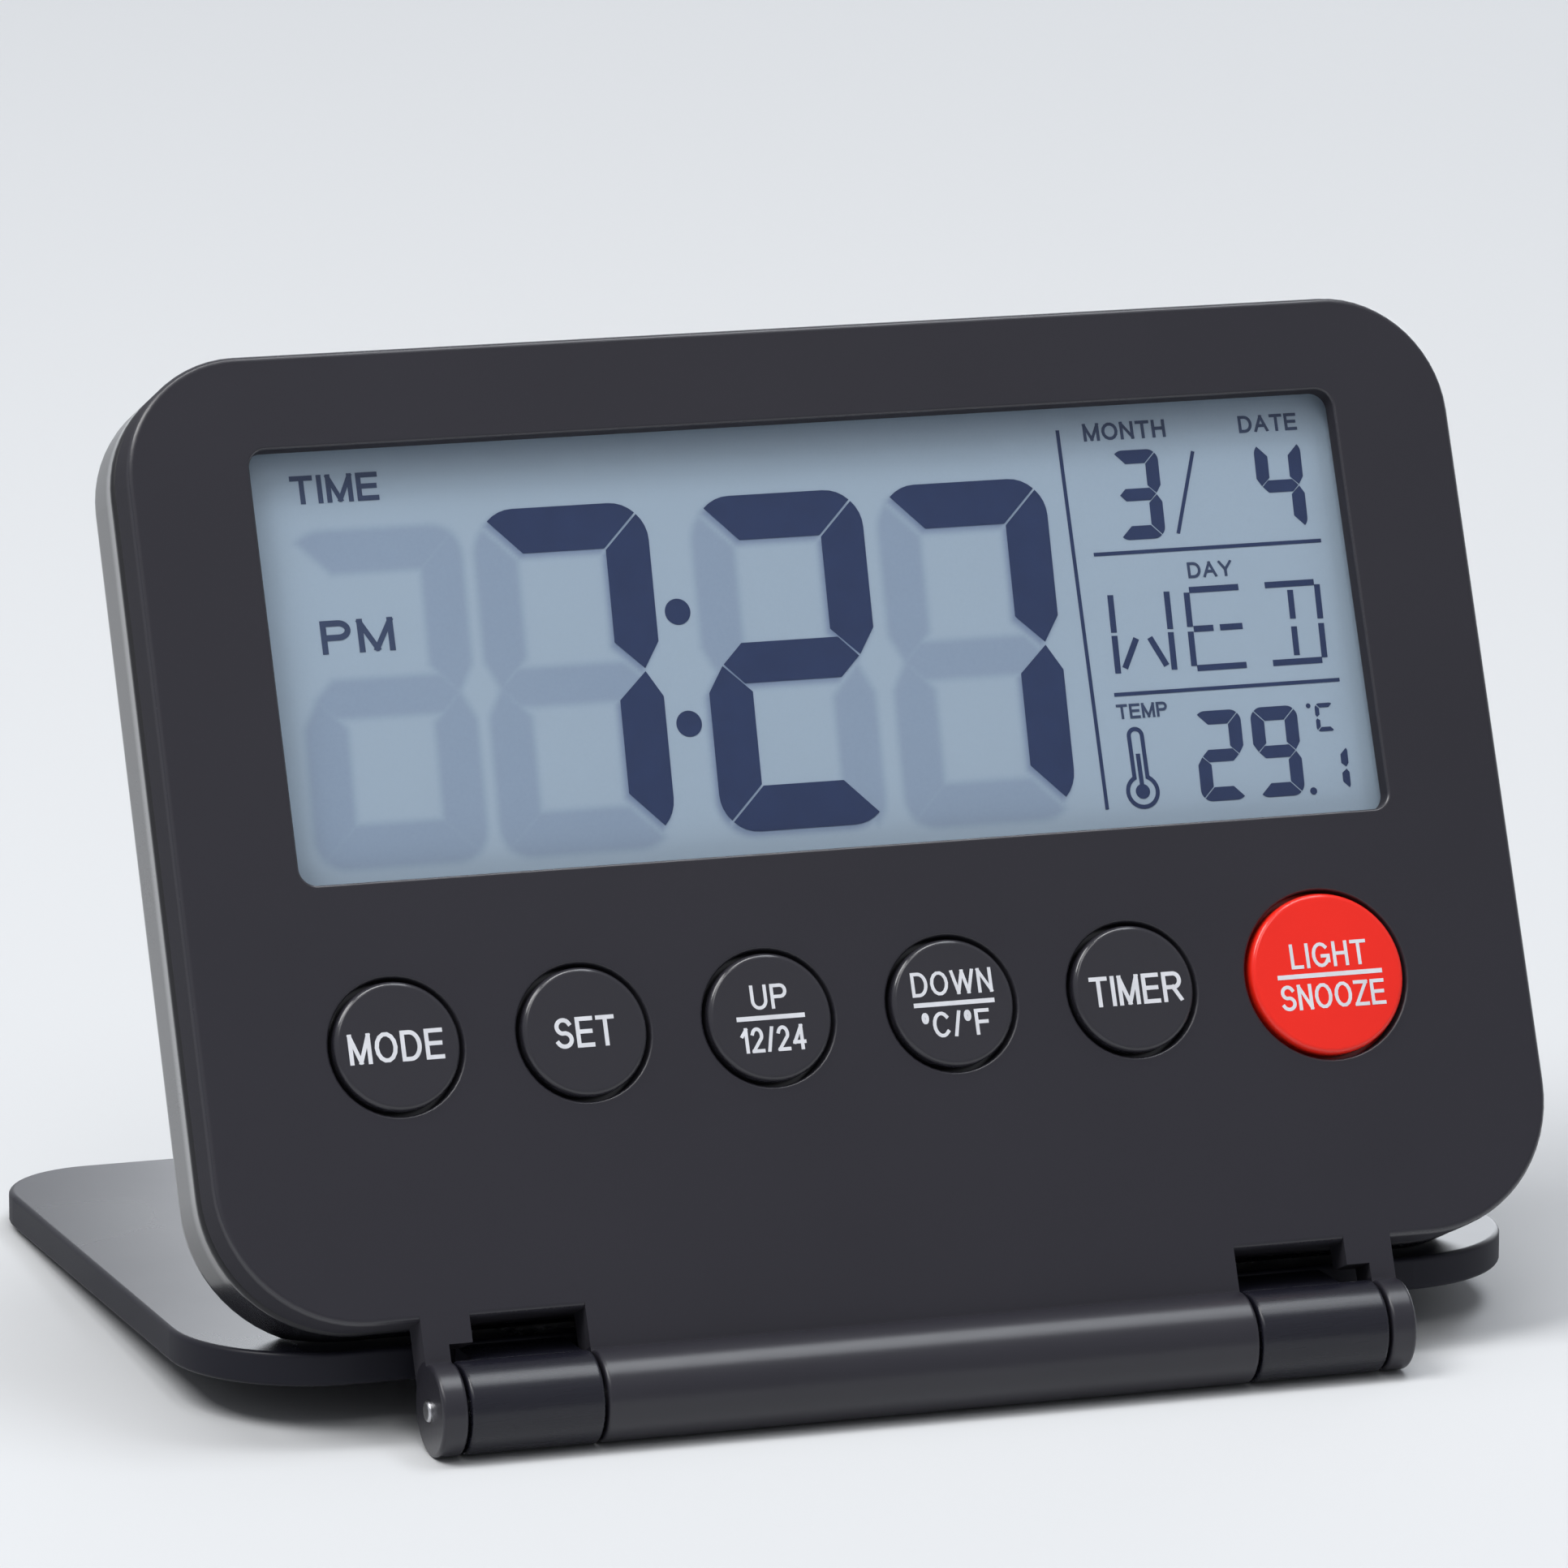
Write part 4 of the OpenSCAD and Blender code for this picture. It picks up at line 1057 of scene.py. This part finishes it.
def lines(*ends):
    """Straight strokes, each given as (x0, y0, x1, y1)."""
    return [np.array(end, float).reshape(2, 2) for end in ends]


def path(*pieces):
    """Points and arcs in one run."""
    return np.concatenate([np.atleast_2d(np.array(piece, float)) for piece in pieces])


BOWL = path((0, 1), bend(0.62, 0.74, 0.38, 0.26, 90, -90), (0, 0.48))
# Each letter's width, in cap heights, and its strokes in a cell from (0, 0) to (1, 1)
LETTERS = {
    "A": (0.78, lines((0, 0, 0.5, 1), (1, 0, 0.5, 1), (0.2, 0.34, 0.8, 0.34))),
    "C": (0.72, [bend(0.52, 0.5, 0.52, 0.5, 42, 318)]),
    "D": (0.73, lines((0, 0, 0, 1)) + [path((0, 1), bend(0.42, 0.5, 0.58, 0.5, 90, -90), (0, 0))]),
    "E": (0.64, lines((0, 0, 0, 1), (0, 1, 1, 1), (0, 0.52, 0.92, 0.52), (0, 0, 1, 0))),
    "F": (0.58, lines((0, 0, 0, 1), (0, 1, 1, 1), (0, 0.5, 0.88, 0.5))),
    "G": (0.78, [bend(0.5, 0.5, 0.5, 0.5, 45, 330)] + lines((0.6, 0.44, 1, 0.44), (1, 0.44, 1, 0.2))),
    "H": (0.65, lines((0, 0, 0, 1), (1, 0, 1, 1), (0, 0.52, 1, 0.52))),
    "I": (0.0, lines((0, 0, 0, 1))),
    "L": (0.5, lines((0, 0, 0, 1), (0, 0, 1, 0))),
    "M": (0.82, lines((0, 0, 0, 1), (1, 0, 1, 1), (0, 1, 0.5, 0), (1, 1, 0.5, 0))),
    "N": (0.65, lines((0, 0, 0, 1), (1, 0, 1, 1), (0, 1, 1, 0))),
    "O": (0.83, [bend(0.5, 0.5, 0.5, 0.5, 0, 360)]),
    "P": (0.66, lines((0, 0, 0, 1)) + [BOWL]),
    "R": (0.74, lines((0, 0, 0, 1), (0.55, 0.48, 1, 0)) + [BOWL]),
    "S": (0.67, [path(bend(0.5, 0.745, 0.46, 0.255, 25, 255), bend(0.5, 0.255, 0.5, 0.255, 75, -155))]),
    "T": (0.68, lines((0, 1, 1, 1), (0.5, 0, 0.5, 1))),
    "U": (0.66, [path((0, 1), bend(0.5, 0.36, 0.5, 0.36, 180, 360), (1, 1))]),
    "W": (1.15, lines((0, 1, 0.25, 0), (0.5, 1, 0.25, 0), (0.5, 1, 0.75, 0), (1, 1, 0.75, 0))),
    "Y": (0.76, lines((0, 1, 0.5, 0.42), (1, 1, 0.5, 0.42), (0.5, 0, 0.5, 0.42))),
    "Z": (0.64, lines((0, 1, 1, 1), (1, 1, 0, 0), (0, 0, 1, 0))),
    "1": (0.22, lines((1, 0, 1, 1), (0, 0.72, 1, 1))),
    "2": (0.52, [path(bend(0.48, 0.7, 0.48, 0.3, 160, -25), (0, 0))] + lines((0, 0, 1, 0))),
    "4": (0.54, lines((0.76, 0, 0.76, 1), (0, 0.28, 0.76, 1), (0, 0.28, 1, 0.28))),
    "/": (0.24, lines((0, 0, 1, 1))),
    "°": (0.2, [bend(0.5, 0.82, 0.5, 0.18, 0, 360)]),
}
LETTER_GAP = 0.34
STROKE_STEP = 0.0005


def pen(line, width):
    """The two sides of a stroke of even width along a line, and whether it is a ring: the points are moved
    to both sides along the normal, and open ends reach half a width further."""
    closed = np.allclose(line[0], line[-1])
    if closed:
        line = line[:-1]
        along = np.roll(line, -1, axis=0) - np.roll(line, 1, axis=0)
    else:
        along = np.gradient(line, axis=0)
    along /= np.linalg.norm(along, axis=1, keepdims=True)
    if not closed:
        line = line + width / 2 * np.concatenate([-along[:1], 0 * along[1:-1], along[-1:]])
    side = width / 2 * np.column_stack([-along[:, 1], along[:, 0]])
    return (line + side, line - side), closed


def words(text, left, low, right, high, near, far, weight):
    """Text as ribbons. The letters' cells are laid side by side and stretched to fill the width, the pen is
    a share of the height, and the strokes are cut off level at the top and the foot. Each stroke lies a
    hair over the one before, so that no two faces lie in one place."""
    width = weight * (high - low)
    sizes = np.array([LETTERS[letter][0] for letter in text])
    starts = np.concatenate([[0], np.cumsum(sizes + LETTER_GAP)[:-1]])
    stretch = (right - left - width) / (starts[-1] + sizes[-1])
    ribbons = []
    for letter, start, size in zip(text, starts, sizes):
        for line in LETTERS[letter][1]:
            corner = np.array([left + start * stretch, low]) + width / 2
            sides, closed = pen(corner + line * [size * stretch, high - low - width], width)
            level = [np.column_stack([side[:, 0], np.clip(side[:, 1], low, high)]) for side in sides]
            lift = STROKE_STEP * len(ribbons)
            ribbons.append(ribbon(*level, near - lift, far - lift, closed))
    return joined(ribbons)


print("letters:", "".join(LETTERS))

# %% [markdown]
# ## Words on the display
# The words on the display are set with a fine pen. They could share the ink of the figures, but thin marks
# of crystal look paler than broad bars, so they have an ink of their own.

# %% Set the display's words
LABELS = [
    ("TIME", -41.4, 71.35, -34.3, 73.6), ("PM", -40.4, 59.4, -34.5, 62.05),
    ("MONTH", 24.5, 72.65, 31.5, 74.1), ("DATE", 37.8, 72.6, 42.8, 74.0),
    ("DAY", 31.75, 61.05, 35.55, 62.35), ("TEMP", 24.1, 50.05, 28.4, 51.25),
]
LABEL_WEIGHT = 0.18
LABEL_COLOUR = (0.035, 0.055, 0.115)

label_ink = ink_finish("display_label_ink", LABEL_COLOUR)
label_parts = [words(*label, INK_NEAR, INK_FAR, LABEL_WEIGHT) for label in LABELS]
face_piece("display_labels", label_parts, label_ink, "case")
print("labels:", ", ".join(label[0] for label in LABELS))

# %% [markdown]
# ## Marks on the keys
# The keys are printed in white. The print could be a pattern in the key's finish, but a piece of its own
# keeps a sharp edge at any size. It stands a hair proud of the key and reaches as far into it, so that it
# never floats, and it rides with its key when that is pressed. Keys with two duties have a bar between them.

# %% Print the keys
PRINT_COLOUR = (0.72, 0.73, 0.77)
PRINT_WEIGHT = 0.138
PRINT_T = 0.02
KEY_PRINT = {
    "mode": [("MODE", -3.95, -1.25, 3.65, 1.15)],
    "set": [("SET", -2.5, -1.25, 2.4, 1.15)],
    "up": [("UP", -1.45, 0.6, 1.55, 2.55), ("12/24", -2.65, -2.75, 2.65, -0.75)],
    "down": [("DOWN", -3.3, 0.6, 3.4, 2.55), ("°C/°F", -2.8, -2.7, 2.8, -0.65)],
    "timer": [("TIMER", -3.7, -1.3, 4.0, 1.1)],
    "light": [("LIGHT", -3.0, 0.5, 3.5, 2.5), ("SNOOZE", -4.25, -2.8, 4.6, -0.75)],
}
KEY_BARS = {"up": (-2.8, 2.8, -0.05), "down": (-3.3, 3.4, -0.05), "light": (-4.3, 4.6, -0.1)}
BAR_W = 0.36

key_ink = ink_finish("key_print", PRINT_COLOUR)
for key in KEYS:
    low, high = face_extent(f"{key}_button")
    centre = (low + high) / 2
    near, far = low[2] - PRINT_T, low[2] + PRINT_T
    around = np.concatenate([centre[:2], centre[:2]])
    parts = [words(text, *(around + box), near, far, PRINT_WEIGHT) for text, *box in KEY_PRINT[key]]
    if key in KEY_BARS:
        left, right, rise = KEY_BARS[key]
        bar = stroke(centre[:2] + [left, rise], centre[:2] + [right, rise], BAR_W)
        parts.append(prism(bar, near, far))
    face_piece(f"{key}_print", parts, key_ink, f"{key}_key")
print("printed keys:", ", ".join(KEYS))

# %% [markdown]
# ## The size
# The box of the finished model is printed in millimetres.

# %% Measure the box and finish
seen_low, seen_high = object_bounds()
seen_box = [list(seen_low), list(seen_high)]
print("visual box in mm:", [[round(value / MM, 2) for value in corner] for corner in seen_box])
